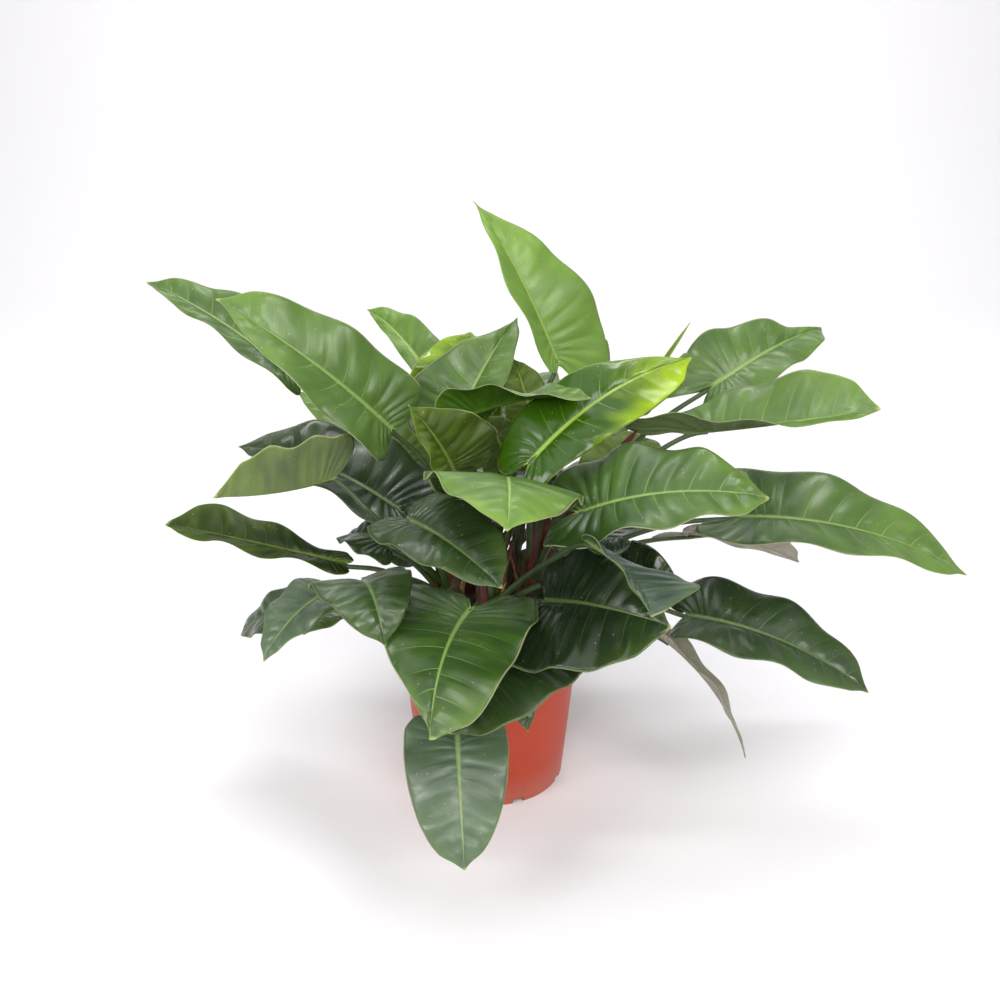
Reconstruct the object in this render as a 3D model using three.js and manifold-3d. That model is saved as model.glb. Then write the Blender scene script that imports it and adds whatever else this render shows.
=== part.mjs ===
// A potted imperial green philodendron: pot, soil, four short stems and their leaves.
// Millimetres, +Z up, origin at the middle of the pot's base, the plant's front toward -Y.
import * as THREE from 'three';
import { mergeVertices } from 'three/addons/utils/BufferGeometryUtils.js';
import Module from 'manifold-3d';

const wasm = await Module();
wasm.setup();

// Pot
const potHeight = 225;
const potFootRadius = 95;
const potRimRadius = 120;
const potWall = 2.6;
const potFloor = 3.5;
const potEdge = 2;
const rimBandHeight = 22;
const rimStep = 3.5;
const potSides = 36;
const notchCount = 8;
const notchSize = { width: 15, depth: 16, height: 6 };
const drainHoleCount = 6;
const drainHoleRadius = 7;
const drainHoleCircle = 62;
const drainHoleSides = 12;

// Soil
const soilTop = 205;
const soilMound = 8;
const soilEdgeDrop = 4;
const soilFlatRadius = 76;
const fitGap = 0.3;

// Stems: place in the pot, height of the top, radius at the soil and at the top
const stemFoot = 150;
const stemFootRadius = 13;
const stemShoulder = 30;
const stemRound = 6;
const stems = {
  left: { at: [-50, 0], top: 316, radius: 23, topRadius: 15 },
  right: { at: [50, -5], top: 316, radius: 23, topRadius: 15 },
  front: { at: [0, -50], top: 296, radius: 22, topRadius: 15 },
  back: { at: [0, 50], top: 320, radius: 23, topRadius: 15 },
};
const stemSides = 12;

// The pointed brown sheath that stands on each stem and wraps its next leaf
const sheathLength = 70;
const sheathRoot = 20;
const sheathRadius = 3.6;
const sheathTipRadius = 0.8;
const sheathLean = 3;
const sheathSides = 6;
const sheathSteps = 4;

// Leaves
const bladeThickness = 1.4;
const stalkRadius = 4.2;
const stalkEndRadius = 3.0;
const stalkTipRadius = 1.6;
const stalkOut = 9;
const stalkRise = 0.1;
const stalkSides = 5;
const stalkSteps = 7;
const ribReach = 0.1;
const ribDepth = 1;

// Half outline of a flat blade, from the notch at the stalk round the lobe to the tip: across in
// half widths and along in blade lengths, with the place on the midrib that each point's vein leaves.
const margin = [
  { across: 0.05, along: -0.03, rib: 0.0 },
  { across: 0.50, along: -0.15, rib: 0.03 },
  { across: 0.89, along: -0.05, rib: 0.07 },
  { across: 1.00, along: 0.12, rib: 0.13 },
  { across: 0.96, along: 0.33, rib: 0.24 },
  { across: 0.83, along: 0.54, rib: 0.42 },
  { across: 0.60, along: 0.74, rib: 0.63 },
  { across: 0.30, along: 0.90, rib: 0.84 },
  { across: 0.0, along: 1.0, rib: 1.0 },
];
const veinSteps = [0, 0.5, 1];
const veinSweep = 1.4;
const waveCount = 2.5;
const calmTip = 3;
// Each leaf: name, height where its stalk leaves the stem, foot of the blade, tip of the blade, half
// widths, way the upper face looks, arch of the midrib, fold of each half in degrees, wave, tone.
// Left and right are as seen from the foot of the blade toward its tip, with the upper face up.
// Some leaves also have: bow of the stalk, twist from foot to tip in degrees, sideways bend of the
// midrib, and by side: lobes, their length in parts of the usual; necks, how much slimmer the foot is;
// fullness, a power that draws the outline in above 1 and rounds it out below.
const leafRows = {
  left: [
    ['01_far_upper_left', 286, [-235, 50, 520], [-430, 130, 625],
      [24, 50], [-2, -3, 10], 14, [12, 22], 5, 'old', { bow: [0, 48, 0], lobes: [0.4, 0.4], fullness: [0.7, 0.9] }],
    ['02_upper_left', 300, [-115, -20, 480], [-300, -60, 645],
      [50, 66], [1, -7, 8], 16, [10, 10], 5, 'mid', { bow: [20, 10, 0], lobes: [0.3, 0.3], fullness: [1.2, 0.72] }],
    ['06_centre_turned', 302, [-30, -5, 490], [115, -70, 535],
      [34, 45], [0, 8, 6], 12, [20, 20], 4, 'mid', { twist: 70, fullness: [0.8, 0.8] }],
    ['19_front_left', 266, [-90, -150, 420], [15, -270, 395],
      [64, 50], [1, -6, 8], 14, [-4, 12], 5, 'old', { lobes: [0.6, 0.8], fullness: [0.85, 0.85] }],
    ['20_low_left', 250, [-145, -140, 340], [-110, -230, 305],
      [52, 62], [0, -2, 10], 30, [5, 8], 4, 'old', { lobes: [1, 0.6] }],
    ['21_lower_left', 238, [-180, -100, 310], [-250, -200, 270],
      [40, 42], [-2, -3, 9], 16, [8, 8], 4, 'old', { lobes: [1, 0.4] }],
    ['22_lower_left_back', 230, [-225, 0, 240], [-340, 80, 155],
      [40, 36], [-3, -4, 7], 12, [10, 10], 4, 'old', { lobes: [1, 0.3] }],
    ['23_lower_left_under', 222, [-180, -40, 250], [-220, -110, 255],
      [38, 38], [-1, -3, 9], 10, [8, 8], 3, 'old'],
    ['24_far_left', 244, [-180, -20, 305], [-420, 60, 325],
      [30, 62], [-1, -2, 10], 2, [12, 18], 6, 'old', { lobes: [0.3, 0.3], necks: [0.3, 0.95], fullness: [0.6, 0.4] }],
    ['25_left_boat', 270, [-180, -60, 435], [-295, -170, 455],
      [70, 54], [0, 2, 10], -6, [64, 32], 4, 'mid', { bow: [0, -35, 0], fullness: [0.3, 1] }],
    ['26_left_broad', 280, [-110, -15, 375], [-315, 50, 435],
      [50, 84], [-1, -2, 10], 20, [8, 12], 6, 'old', { lobes: [0.6, 0.6], fullness: [0.9, 0.9] }],
    ['29_left_small', 250, [-120, -40, 335], [-185, 20, 320],
      [40, 40], [-2, -1, 9], 14, [15, 15], 4, 'old'],
    ['38_centre_left', 292, [-40, -70, 445], [-90, -80, 530],
      [24, 66], [3, -8, 6], 10, [10, 10], 5, 'young', { lobes: [0.5, 1.2], fullness: [1, 1.8] }],
    ['41_under_upper_left', 294, [-100, 90, 390], [-255, 150, 475],
      [38, 60], [1, -6, 9], 12, [8, 10], 4, 'old', { bow: [15, 20, 15] }],
    ['44_centre_dark', 256, [25, 0, 425], [-5, 35, 480],
      [34, 36], [0, -8, 6], 8, [10, 10], 4, 'old'],
  ],
  right: [
    ['08_bright_centre', 302, [45, -85, 460], [240, 10, 560],
      [56, 62], [-1, -8, 9], 12, [-12, 8], 5, 'young', { twist: 32, bend: -14, lobes: [0.8, 0.7], necks: [0, 0.5], fullness: [1.6, 0.8] }],
    ['09_upper_right', 298, [275, 60, 510], [430, 160, 560],
      [60, 44], [2, -6, 9], 14, [12, 14], 6, 'mid', { lobes: [2, 1], fullness: [2.2, 0.6] }],
    ['10_right_boat', 284, [235, -30, 480], [440, -80, 525],
      [83, 56], [0, 0, 10], -3, [26, 42], 4, 'mid', { twist: 46, lobes: [0.8, 2.5], necks: [0.45, 0], fullness: [0.7, 1] }],
    ['11_right_centre', 280, [100, -110, 410], [305, -160, 450],
      [80, 66], [0, -4, 10], 20, [8, 8], 7, 'mid', { fullness: [0.95, 0.6] }],
    ['12_far_right', 268, [305, 0, 360], [585, -40, 300],
      [84, 62], [0, -3, 10], 26, [10, 9], 5, 'mid', { fullness: [1.15, 0.78] }],
    ['13_right_edge_on', 254, [260, 70, 305], [435, 170, 220],
      [55, 55], [-3, 4, 9], 10, [10, 10], 3, 'old'],
    ['14_lower_right', 244, [240, -70, 260], [445, -150, 200],
      [62, 60], [1, -4, 9], 24, [6, 12], 6, 'old', { lobes: [1, 0.3], necks: [0, 0.15], fullness: [0.8, 0.85] }],
    ['15_hanging_right', 232, [210, -35, 215], [320, -100, 75],
      [22, 38], [8, -2, 4], 17, [30, 25], 4, 'old', { fullness: [1.6, 1.6] }],
    ['35_right_under', 248, [160, -80, 305], [220, -125, 320],
      [52, 50], [0, -8, 6], 14, [10, 10], 4, 'old'],
    ['36_right_small', 256, [140, -35, 315], [185, -10, 325],
      [24, 24], [0, -5, 8], 6, [10, 10], 2, 'old'],
    ['40_hidden_centre', 300, [55, 50, 460], [30, 95, 535],
      [32, 32], [0, -8, 6], 10, [10, 10], 4, 'old'],
  ],
  front: [
    ['16_pale_folded', 268, [105, -200, 415], [165, -295, 375],
      [98, 14], [8, 2, 6], 10, [2, 20], 3, 'young', { bow: [0, -5, -12], twist: 56, lobes: [0.2, 0.2], necks: [0.8, 0], fullness: [0.3, 1] }],
    ['17_front_right', 246, [65, -130, 310], [195, -230, 330],
      [70, 96], [0, -7, 8], 14, [5, 6], 6, 'old', { lobes: [1, 0.5], fullness: [1, 0.6] }],
    ['18_front_large', 252, [-20, -150, 310], [-60, -310, 240],
      [82, 88], [0, -3, 10], 20, [6, 6], 5, 'mid', { bend: 8, lobes: [1.3, 1.3], fullness: [0.6, 2] }],
    ['30_hanging_front', 240, [-35, -225, 200], [-25, -330, 90],
      [56, 60], [0, -6, 8], 14, [6, 8], 4, 'mid', { lobes: [0.6, 0.6], fullness: [0.9, 0.75] }],
    ['31_under_front', 238, [50, -150, 260], [-45, -250, 210],
      [76, 66], [0, -3, 10], 14, [8, 8], 4, 'old', { lobes: [0.5, 0.3], fullness: [0.62, 1] }],
    ['32_small_front', 228, [20, -140, 250], [45, -195, 175],
      [24, 24], [1, -5, 8], 8, [10, 10], 2, 'old'],
    ['33_low_right_front', 228, [75, -70, 260], [110, -125, 210],
      [32, 32], [1, -5, 8], 8, [10, 10], 3, 'old'],
    ['37_centre_hood', 280, [15, -140, 460], [20, -275, 460],
      [88, 88], [2, -2, 10], 26, [-8, -8], 6, 'mid', { lobes: [1.3, 1.3] }],
    ['43_mid_dark', 258, [135, -75, 320], [75, -60, 345],
      [30, 30], [0, -4, 9], 10, [8, 8], 4, 'old'],
  ],
  back: [
    ['03_back_left', 282, [-80, 140, 500], [-170, 260, 560],
      [16, 38], [-2, -6, 8], 10, [10, 10], 4, 'old', { bend: 5 }],
    ['04_pale_behind', 308, [-35, 100, 445], [-25, 155, 555],
      [80, 50], [0, -8, 6], 10, [12, 12], 5, 'young', { fullness: [0.85, 0.85] }],
    ['05_upper_centre', 296, [-45, 60, 450], [35, 130, 580],
      [74, 44], [-2, -7, 7], 14, [12, 12], 4, 'mid', { lobes: [0.8, 1], fullness: [2.2, 0.9] }],
    ['07_tallest', 306, [85, 85, 530], [-20, 135, 725],
      [66, 84], [6, -8, 5], 12, [25, 10], 4, 'mid', { lobes: [0.2, 1.4], necks: [0.7, 0], fullness: [1.9, 1.7] }],
    ['39_rolled_spike', 294, [185, 30, 510], [240, 40, 595],
      [7, 7], [0, -8, 4], 2, [60, 60], 0, 'young'],
    ['42_right_of_centre', 266, [155, 60, 385], [215, 150, 410],
      [50, 50], [0, -4, 9], 12, [10, 10], 5, 'mid'],
    ['45_back_low_left', 256, [-95, 130, 330], [-195, 270, 300],
      [50, 50], [0, 1, 10], 22, [8, 8], 5, 'old'],
    ['46_back_low', 250, [0, 165, 320], [5, 345, 280],
      [60, 60], [0, 1, 10], 24, [8, 8], 6, 'old'],
    ['47_back_low_right', 258, [105, 140, 330], [200, 290, 300],
      [54, 54], [0, 1, 10], 22, [8, 8], 5, 'old'],
    ['48_back_middle_left', 274, [-65, 185, 410], [-120, 345, 430],
      [54, 54], [0, -2, 10], 20, [10, 10], 5, 'mid'],
    ['49_back_middle', 282, [35, 190, 425], [60, 370, 430],
      [60, 60], [0, -1, 10], 22, [10, 10], 6, 'mid'],
    ['50_back_middle_right', 272, [130, 175, 410], [245, 310, 425],
      [56, 56], [0, -2, 10], 20, [10, 10], 5, 'mid'],
    ['51_back_foot_right', 238, [125, 115, 265], [220, 255, 225],
      [48, 48], [0, 1, 10], 20, [8, 8], 4, 'old'],
    ['52_back_foot_left', 236, [-105, 100, 265], [-205, 225, 220],
      [46, 46], [0, 1, 10], 20, [8, 8], 4, 'old'],
  ],
};

const colours = {
  pot: new THREE.MeshStandardMaterial({ color: 0xbe6149, roughness: 0.45, metalness: 0 }),
  soil: new THREE.MeshStandardMaterial({ color: 0x3a2b20, roughness: 0.95, metalness: 0 }),
  stem: new THREE.MeshStandardMaterial({ color: 0x7b5a38, roughness: 0.7, metalness: 0 }),
  old: new THREE.MeshStandardMaterial({ color: 0x2f4a2b, roughness: 0.4, metalness: 0 }),
  mid: new THREE.MeshStandardMaterial({ color: 0x4c7433, roughness: 0.35, metalness: 0 }),
  young: new THREE.MeshStandardMaterial({ color: 0x8fae45, roughness: 0.3, metalness: 0 }),
};

const plant = new THREE.Group();

function toSolid(geometry) {
  const bare = new THREE.BufferGeometry();
  bare.setAttribute('position', geometry.getAttribute('position'));
  if (geometry.index) bare.setIndex(geometry.index);
  const merged = mergeVertices(bare, 1e-4);
  const triVerts = new Uint32Array(merged.index.array);
  const vertProperties = new Float32Array(merged.getAttribute('position').array);
  return new wasm.Manifold(new wasm.Mesh({ numProp: 3, vertProperties, triVerts }));
}

function addPiece(name, solid, material) {
  const { vertProperties, triVerts } = solid.getMesh();
  const geometry = new THREE.BufferGeometry();
  geometry.setAttribute('position', new THREE.BufferAttribute(vertProperties, 3));
  geometry.setIndex(new THREE.BufferAttribute(triVerts, 1));
  const flat = geometry.toNonIndexed();
  flat.computeVertexNormals();
  const mesh = new THREE.Mesh(flat, material);
  mesh.name = name;
  plant.add(mesh);
}

function lathe(profile, sides) {
  const points = profile.map(([radius, height]) => new THREE.Vector2(radius, height));
  return new THREE.LatheGeometry(points, sides).rotateX(Math.PI / 2);
}

// A closed skin over rings of points that have the same count, with flat ends.
function loft(rings) {
  const sides = rings[0].length;
  const positions = rings.flat().flatMap((point) => [point.x, point.y, point.z]);
  const faces = [];
  for (let ring = 0; ring < rings.length - 1; ring++) {
    for (let side = 0; side < sides; side++) {
      const next = (side + 1) % sides;
      const a = ring * sides + side;
      const b = ring * sides + next;
      faces.push(a, b, a + sides, b, b + sides, a + sides);
    }
  }
  const last = (rings.length - 1) * sides;
  for (let side = 1; side < sides - 1; side++) {
    faces.push(0, side + 1, side);
    faces.push(last, last + side, last + side + 1);
  }
  const geometry = new THREE.BufferGeometry();
  geometry.setAttribute('position', new THREE.Float32BufferAttribute(positions, 3));
  geometry.setIndex(faces);
  return geometry;
}

// A tapered stalk along a curve: radiusAt takes the share of the way along it.
function taperedTube(curve, steps, sides, radiusAt) {
  const frames = curve.computeFrenetFrames(steps, false);
  const rings = [];
  for (let step = 0; step <= steps; step++) {
    const share = step / steps;
    const centre = curve.getPointAt(share);
    const radius = radiusAt(share);
    const ring = [];
    for (let side = 0; side < sides; side++) {
      const angle = (2 * Math.PI * side) / sides;
      const offset = frames.normals[step].clone().multiplyScalar(Math.cos(angle) * radius);
      offset.addScaledVector(frames.binormals[step], Math.sin(angle) * radius);
      ring.push(centre.clone().add(offset));
    }
    rings.push(ring);
  }
  return loft(rings);
}

function potInnerRadius(height) {
  const share = height / potHeight;
  return potFootRadius + (potRimRadius - rimStep - potFootRadius) * share - potWall;
}

function makePot() {
  const bandFoot = potHeight - rimBandHeight;
  const profile = [
    [0, 0],
    [potFootRadius - potEdge, 0],
    [potFootRadius, potEdge],
    [potInnerRadius(bandFoot) + potWall, bandFoot],
    [potRimRadius - potEdge, bandFoot + potEdge],
    [potRimRadius, potHeight - potEdge],
    [potRimRadius - potEdge, potHeight],
    [potInnerRadius(potHeight) + potEdge / 2, potHeight],
    [potInnerRadius(potHeight), potHeight - potEdge],
    [potInnerRadius(potFloor), potFloor],
    [0, potFloor],
  ];
  let solid = toSolid(lathe(profile, potSides));
  for (let notch = 0; notch < notchCount; notch++) {
    const cutter = new THREE.BoxGeometry(notchSize.width, notchSize.depth, 2 * notchSize.height);
    cutter.translate(0, -potFootRadius, 0);
    cutter.rotateZ((2 * Math.PI * (notch + 0.5)) / notchCount);
    solid = solid.subtract(toSolid(cutter));
  }
  for (let hole = 0; hole < drainHoleCount; hole++) {
    const height = 4 * potFloor;
    const cutter = new THREE.CylinderGeometry(drainHoleRadius, drainHoleRadius, height, drainHoleSides);
    cutter.rotateX(Math.PI / 2);
    cutter.translate(drainHoleCircle, 0, 0);
    cutter.rotateZ((2 * Math.PI * hole) / drainHoleCount);
    solid = solid.subtract(toSolid(cutter));
  }
  addPiece('pot', solid, colours.pot);
}

function stemSolid(stem, grow) {
  const [x, y] = stem.at;
  const geometry = lathe([
    [0, stemFoot - grow],
    [stemFootRadius + grow, stemFoot - grow],
    [stem.radius + grow, soilTop - stemShoulder],
    [stem.radius + grow, soilTop + stemShoulder],
    [stem.topRadius + grow, stem.top - stemRound],
    [stem.topRadius - stemRound + grow, stem.top + grow],
    [0, stem.top + grow],
  ], stemSides);
  return toSolid(geometry.translate(x, y, 0));
}

function makeSoil() {
  const edge = soilTop - soilEdgeDrop;
  const low = potFloor + fitGap;
  let solid = toSolid(lathe([
    [0, low],
    [potInnerRadius(low) - fitGap, low],
    [potInnerRadius(edge) - fitGap, edge],
    [soilFlatRadius, soilTop],
    [0, soilTop + soilMound],
  ], potSides));
  for (const stem of Object.values(stems)) {
    solid = solid.subtract(stemSolid(stem, fitGap));
  }
  addPiece('soil', solid, colours.soil);
}

function sheathSolid(stem) {
  const [x, y] = stem.at;
  const curve = new THREE.CatmullRomCurve3([
    new THREE.Vector3(x, y, stem.top - sheathRoot),
    new THREE.Vector3(x, y, stem.top + sheathLength / 2),
    new THREE.Vector3(x, y - sheathLean, stem.top + sheathLength),
  ]);
  const radiusAt = (share) => THREE.MathUtils.lerp(sheathRadius, sheathTipRadius, share ** 2);
  return toSolid(taperedTube(curve, sheathSteps, sheathSides, radiusAt));
}

function makeStem(name, stem) {
  addPiece(`stem_${name}`, stemSolid(stem, 0).add(sheathSolid(stem)), colours.stem);
}

function leafFrame(leaf) {
  const along = leaf.tip.clone().sub(leaf.foot);
  const length = along.length();
  along.normalize();
  const across = along.clone().cross(leaf.face).normalize();
  const up = across.clone().cross(along);
  return { along, across, up, length };
}

// A point on the arched and bent midrib, by its share of the blade's length.
function ribPoint(leaf, frame, along) {
  const hump = 4 * along * (1 - along);
  const point = leaf.foot.clone().addScaledVector(frame.along, frame.length * along);
  point.addScaledVector(frame.across, leaf.bend * hump);
  return point.addScaledVector(frame.up, leaf.arch * hump);
}

// A point on the middle sheet of the blade: side is -1 or 1, out runs from the midrib to the margin.
function bladePoint(leaf, frame, station, side, out) {
  const which = side < 0 ? 0 : 1;
  const fold = THREE.MathUtils.degToRad(leaf.folds[which]);
  const edge = margin[station];
  const lobe = edge.along < 0 ? leaf.lobes[which] : 1;
  const along = edge.rib + (edge.along * lobe - edge.rib) * out ** veinSweep;
  const slim = 1 - leaf.necks[which] * (1 - edge.rib) ** 2;
  const spread = edge.along < 0 ? edge.across : edge.across ** leaf.fullness[which];
  const width = leaf.halfWidths[which] * spread * slim * out;
  const turn = THREE.MathUtils.degToRad(leaf.twist) * along;
  const across = frame.across.clone().applyAxisAngle(frame.along, turn);
  const up = frame.up.clone().applyAxisAngle(frame.along, turn);
  const slope = (4 * leaf.arch * (1 - 2 * along)) / frame.length;
  const normal = up.addScaledVector(frame.along, -slope).normalize();
  const swing = Math.sin(2 * Math.PI * waveCount * along + leaf.phase * side);
  const wave = leaf.wave * out ** 2 * swing * Math.min(1, calmTip * (1 - along));
  const point = ribPoint(leaf, frame, along);
  point.addScaledVector(across, side * width * Math.cos(fold));
  return point.addScaledVector(normal, width * Math.sin(fold) + wave);
}

function bladeSheet(leaf, frame) {
  const points = [];
  const faces = [];
  const outline = [];
  const index = new Map();
  const tipStation = margin.length - 1;
  const find = (station, column) => {
    const key = station === tipStation ? 'tip' : `${station},${column}`;
    if (!index.has(key)) {
      index.set(key, points.length);
      const side = column < 0 ? -1 : 1;
      points.push(bladePoint(leaf, frame, station, side, veinSteps[Math.abs(column)]));
    }
    return index.get(key);
  };
  const columns = veinSteps.length - 1;
  for (let station = 0; station < tipStation; station++) {
    for (let column = -columns; column < columns; column++) {
      const a = find(station, column);
      const b = find(station, column + 1);
      const c = find(station + 1, column + 1);
      const d = find(station + 1, column);
      if (c === d) {
        faces.push([a, b, c]);
      } else if (column < 0) {
        faces.push([a, b, c], [a, c, d]);
      } else {
        faces.push([a, b, d], [b, c, d]);
      }
    }
  }
  for (let column = -columns; column < columns; column++) outline.push(find(0, column));
  for (let station = 0; station < tipStation; station++) outline.push(find(station, columns));
  for (let station = tipStation; station > 0; station--) outline.push(find(station, -columns));
  return { points, faces, outline };
}

function bladeSolid(leaf, frame) {
  const { points, faces, outline } = bladeSheet(leaf, frame);
  const sheet = new THREE.BufferGeometry().setFromPoints(points);
  sheet.setIndex(faces.flat());
  sheet.computeVertexNormals();
  const normals = sheet.getAttribute('normal');
  const shifted = (amount) => points.map((point, at) => {
    const normal = new THREE.Vector3().fromBufferAttribute(normals, at);
    return point.clone().addScaledVector(normal, amount);
  });
  const skin = [...shifted(bladeThickness / 2), ...shifted(-bladeThickness / 2)];
  const count = points.length;
  const closed = [];
  for (const [a, b, c] of faces) {
    closed.push(a, b, c, a + count, c + count, b + count);
  }
  outline.forEach((a, at) => {
    const b = outline[(at + 1) % outline.length];
    closed.push(a, a + count, b, b, a + count, b + count);
  });
  const geometry = new THREE.BufferGeometry().setFromPoints(skin);
  geometry.setIndex(closed);
  return toSolid(geometry);
}

// From inside the stem, up and out in a low arc, to the underside of the midrib.
function stalkCurve(leaf, frame) {
  const under = (share, depth) => ribPoint(leaf, frame, share).addScaledVector(frame.up, -depth);
  const end = under(0, stalkEndRadius);
  const way = end.clone().sub(leaf.root);
  const between = (share) => {
    const point = leaf.root.clone().addScaledVector(way, share);
    point.z += way.length() * stalkRise * Math.sin(Math.PI * share);
    return point.addScaledVector(leaf.bow, Math.sin(Math.PI * share));
  };
  const points = [leaf.root, between(1 / 3), between(2 / 3), end, under(ribReach, ribDepth)];
  return new THREE.CatmullRomCurve3(points, false, 'centripetal');
}

function stalkSolid(leaf, frame) {
  const curve = stalkCurve(leaf, frame);
  const ribShare = (ribReach * frame.length) / curve.getLength();
  const radiusAt = (share) => {
    const before = Math.min(1, share / (1 - ribShare));
    const beyond = Math.max(0, (share - 1 + ribShare) / ribShare);
    const radius = THREE.MathUtils.lerp(stalkRadius, stalkEndRadius, before);
    return THREE.MathUtils.lerp(radius, stalkTipRadius, beyond);
  };
  return toSolid(taperedTube(curve, stalkSteps, stalkSides, radiusAt));
}

function makeLeaf(stem, row, number) {
  const [name, height, foot, tip, halfWidths, face, arch, folds, wave, tone, extra = {}] = row;
  const axis = new THREE.Vector3(stem.at[0], stem.at[1], height);
  const outward = new THREE.Vector3(...foot).sub(axis).setZ(0).normalize();
  const leaf = {
    root: axis.addScaledVector(outward, stalkOut),
    foot: new THREE.Vector3(...foot),
    tip: new THREE.Vector3(...tip),
    face: new THREE.Vector3(...face),
    bow: new THREE.Vector3(...(extra.bow ?? [0, 0, 0])),
    lobes: extra.lobes ?? [1, 1],
    necks: extra.necks ?? [0, 0],
    fullness: extra.fullness ?? [1, 1],
    twist: extra.twist ?? 0,
    bend: extra.bend ?? 0,
    phase: number,
    halfWidths,
    arch,
    folds,
    wave,
  };
  const frame = leafFrame(leaf);
  let solid = bladeSolid(leaf, frame).add(stalkSolid(leaf, frame));
  solid = solid.subtract(stemSolid(stem, fitGap));
  addPiece(`leaf_${name}`, solid, colours[tone]);
}

makePot();
makeSoil();
for (const [name, stem] of Object.entries(stems)) {
  makeStem(name, stem);
  leafRows[name].forEach((row, number) => makeLeaf(stem, row, number));
}

export default plant;
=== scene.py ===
# A potted imperial green philodendron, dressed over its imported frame.
# Metres, Z up, the middle of the pot's base at the origin, the plant's front toward -Y.
import math

import bmesh
import bpy
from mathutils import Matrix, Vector, noise


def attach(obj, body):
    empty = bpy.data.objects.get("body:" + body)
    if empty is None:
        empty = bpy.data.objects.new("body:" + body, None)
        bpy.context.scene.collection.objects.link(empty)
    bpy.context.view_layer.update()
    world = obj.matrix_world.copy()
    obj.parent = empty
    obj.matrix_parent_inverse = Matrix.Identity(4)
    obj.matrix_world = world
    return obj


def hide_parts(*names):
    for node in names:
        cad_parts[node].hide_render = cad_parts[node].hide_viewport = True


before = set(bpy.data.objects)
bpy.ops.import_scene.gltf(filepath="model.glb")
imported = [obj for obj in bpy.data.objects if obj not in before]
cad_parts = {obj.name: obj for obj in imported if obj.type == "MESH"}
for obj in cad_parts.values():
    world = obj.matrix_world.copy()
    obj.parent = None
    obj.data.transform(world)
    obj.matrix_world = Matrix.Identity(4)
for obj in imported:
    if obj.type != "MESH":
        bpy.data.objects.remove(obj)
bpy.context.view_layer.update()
mm = 0.001
scene = bpy.context.scene


# Node maths written as formulas: a Wire is one output of a node, and its sums are new nodes.
class Wire:
    def __init__(self, socket):
        self.socket = socket
        self.tree = socket.id_data

    def __add__(self, other):
        return calc("ADD", self, other)

    def __radd__(self, other):
        return calc("ADD", other, self)

    def __sub__(self, other):
        return calc("SUBTRACT", self, other)

    def __rsub__(self, other):
        return calc("SUBTRACT", other, self)

    def __mul__(self, other):
        return calc("MULTIPLY", self, other)

    def __rmul__(self, other):
        return calc("MULTIPLY", other, self)

    def __truediv__(self, other):
        return calc("DIVIDE", self, other)

    def __pow__(self, other):
        return calc("POWER", self, other)

    def clamped(self):
        return wireOf(self.tree, "ShaderNodeClamp", {"Value": self})


def isVector(part):
    if isinstance(part, Wire):
        return part.socket.type in ("VECTOR", "ROTATION")
    return isinstance(part, (tuple, Vector))


def plug(socket, value):
    if isinstance(value, Wire):
        value.tree.links.new(value.socket, socket)
    elif value is not None:
        socket.default_value = value


def addNode(tree, kind, inputs=None, **settings):
    node = tree.nodes.new(kind)
    for name, value in settings.items():
        setattr(node, name, value)
    for name, value in (inputs or {}).items():
        plug(node.inputs[name], value)
    return node


def wireOf(tree, kind, inputs=None, output=0, **settings):
    return Wire(addNode(tree, kind, inputs, **settings).outputs[output])


def calc(operation, *parts):
    tree = next(part.tree for part in parts if isinstance(part, Wire))
    vectors = [isVector(part) for part in parts]
    if operation == "MULTIPLY" and any(vectors) and not all(vectors):
        vector, number = parts if vectors[0] else reversed(parts)
        return wireOf(tree, "ShaderNodeVectorMath", {0: vector, "Scale": number}, operation="SCALE")
    kind = "ShaderNodeVectorMath" if any(vectors) else "ShaderNodeMath"
    answer = "Value" if operation == "LENGTH" else 0
    return wireOf(tree, kind, dict(enumerate(parts)), answer, operation=operation)


def smoothStep(value, start, end, low=0.0, high=1.0):
    parts = dict(enumerate((value, start, end, low, high)))
    return wireOf(value.tree, "ShaderNodeMapRange", parts, interpolation_type="SMOOTHSTEP")


def split(vector):
    node = addNode(vector.tree, "ShaderNodeSeparateXYZ", {"Vector": vector})
    return [Wire(socket) for socket in node.outputs]


def combine(x, y, z):
    tree = next(part.tree for part in (x, y, z) if isinstance(part, Wire))
    return wireOf(tree, "ShaderNodeCombineXYZ", {"X": x, "Y": y, "Z": z})


def noiseOf(place, scale, detail=2.0, roughness=0.5):
    parts = {"Vector": place, "Scale": scale, "Detail": detail, "Roughness": roughness}
    return wireOf(place.tree, "ShaderNodeTexNoise", parts)


def objectPlace(tree):
    return wireOf(tree, "ShaderNodeTexCoord", output="Object")


def stretchedNoise(tree, stretch, scale, detail=2.0, roughness=0.5):
    return noiseOf(calc("MULTIPLY", objectPlace(tree), stretch), scale, detail, roughness)


# Sockets are given by their kind: a list of names, or a dictionary of names and first values
def newTree(name, kind, inputs, outputs):
    tree = bpy.data.node_groups.new(name, kind)
    for direction, sockets in (("INPUT", inputs), ("OUTPUT", outputs)):
        for socketKind, names in sockets.items():
            for socketName in names:
                socket = tree.interface.new_socket(
                    name=socketName, in_out=direction, socket_type="NodeSocket" + socketKind
                )
                if isinstance(names, dict):
                    socket.default_value = names[socketName]
    source = tree.nodes.new("NodeGroupInput")
    target = tree.nodes.new("NodeGroupOutput")
    given = {socket.name: Wire(socket) for socket in source.outputs if socket.name}
    return tree, given, target


def sendOut(target, wires):
    for name, wire in wires.items():
        plug(target.inputs[name], wire)


print("finishes")

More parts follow.
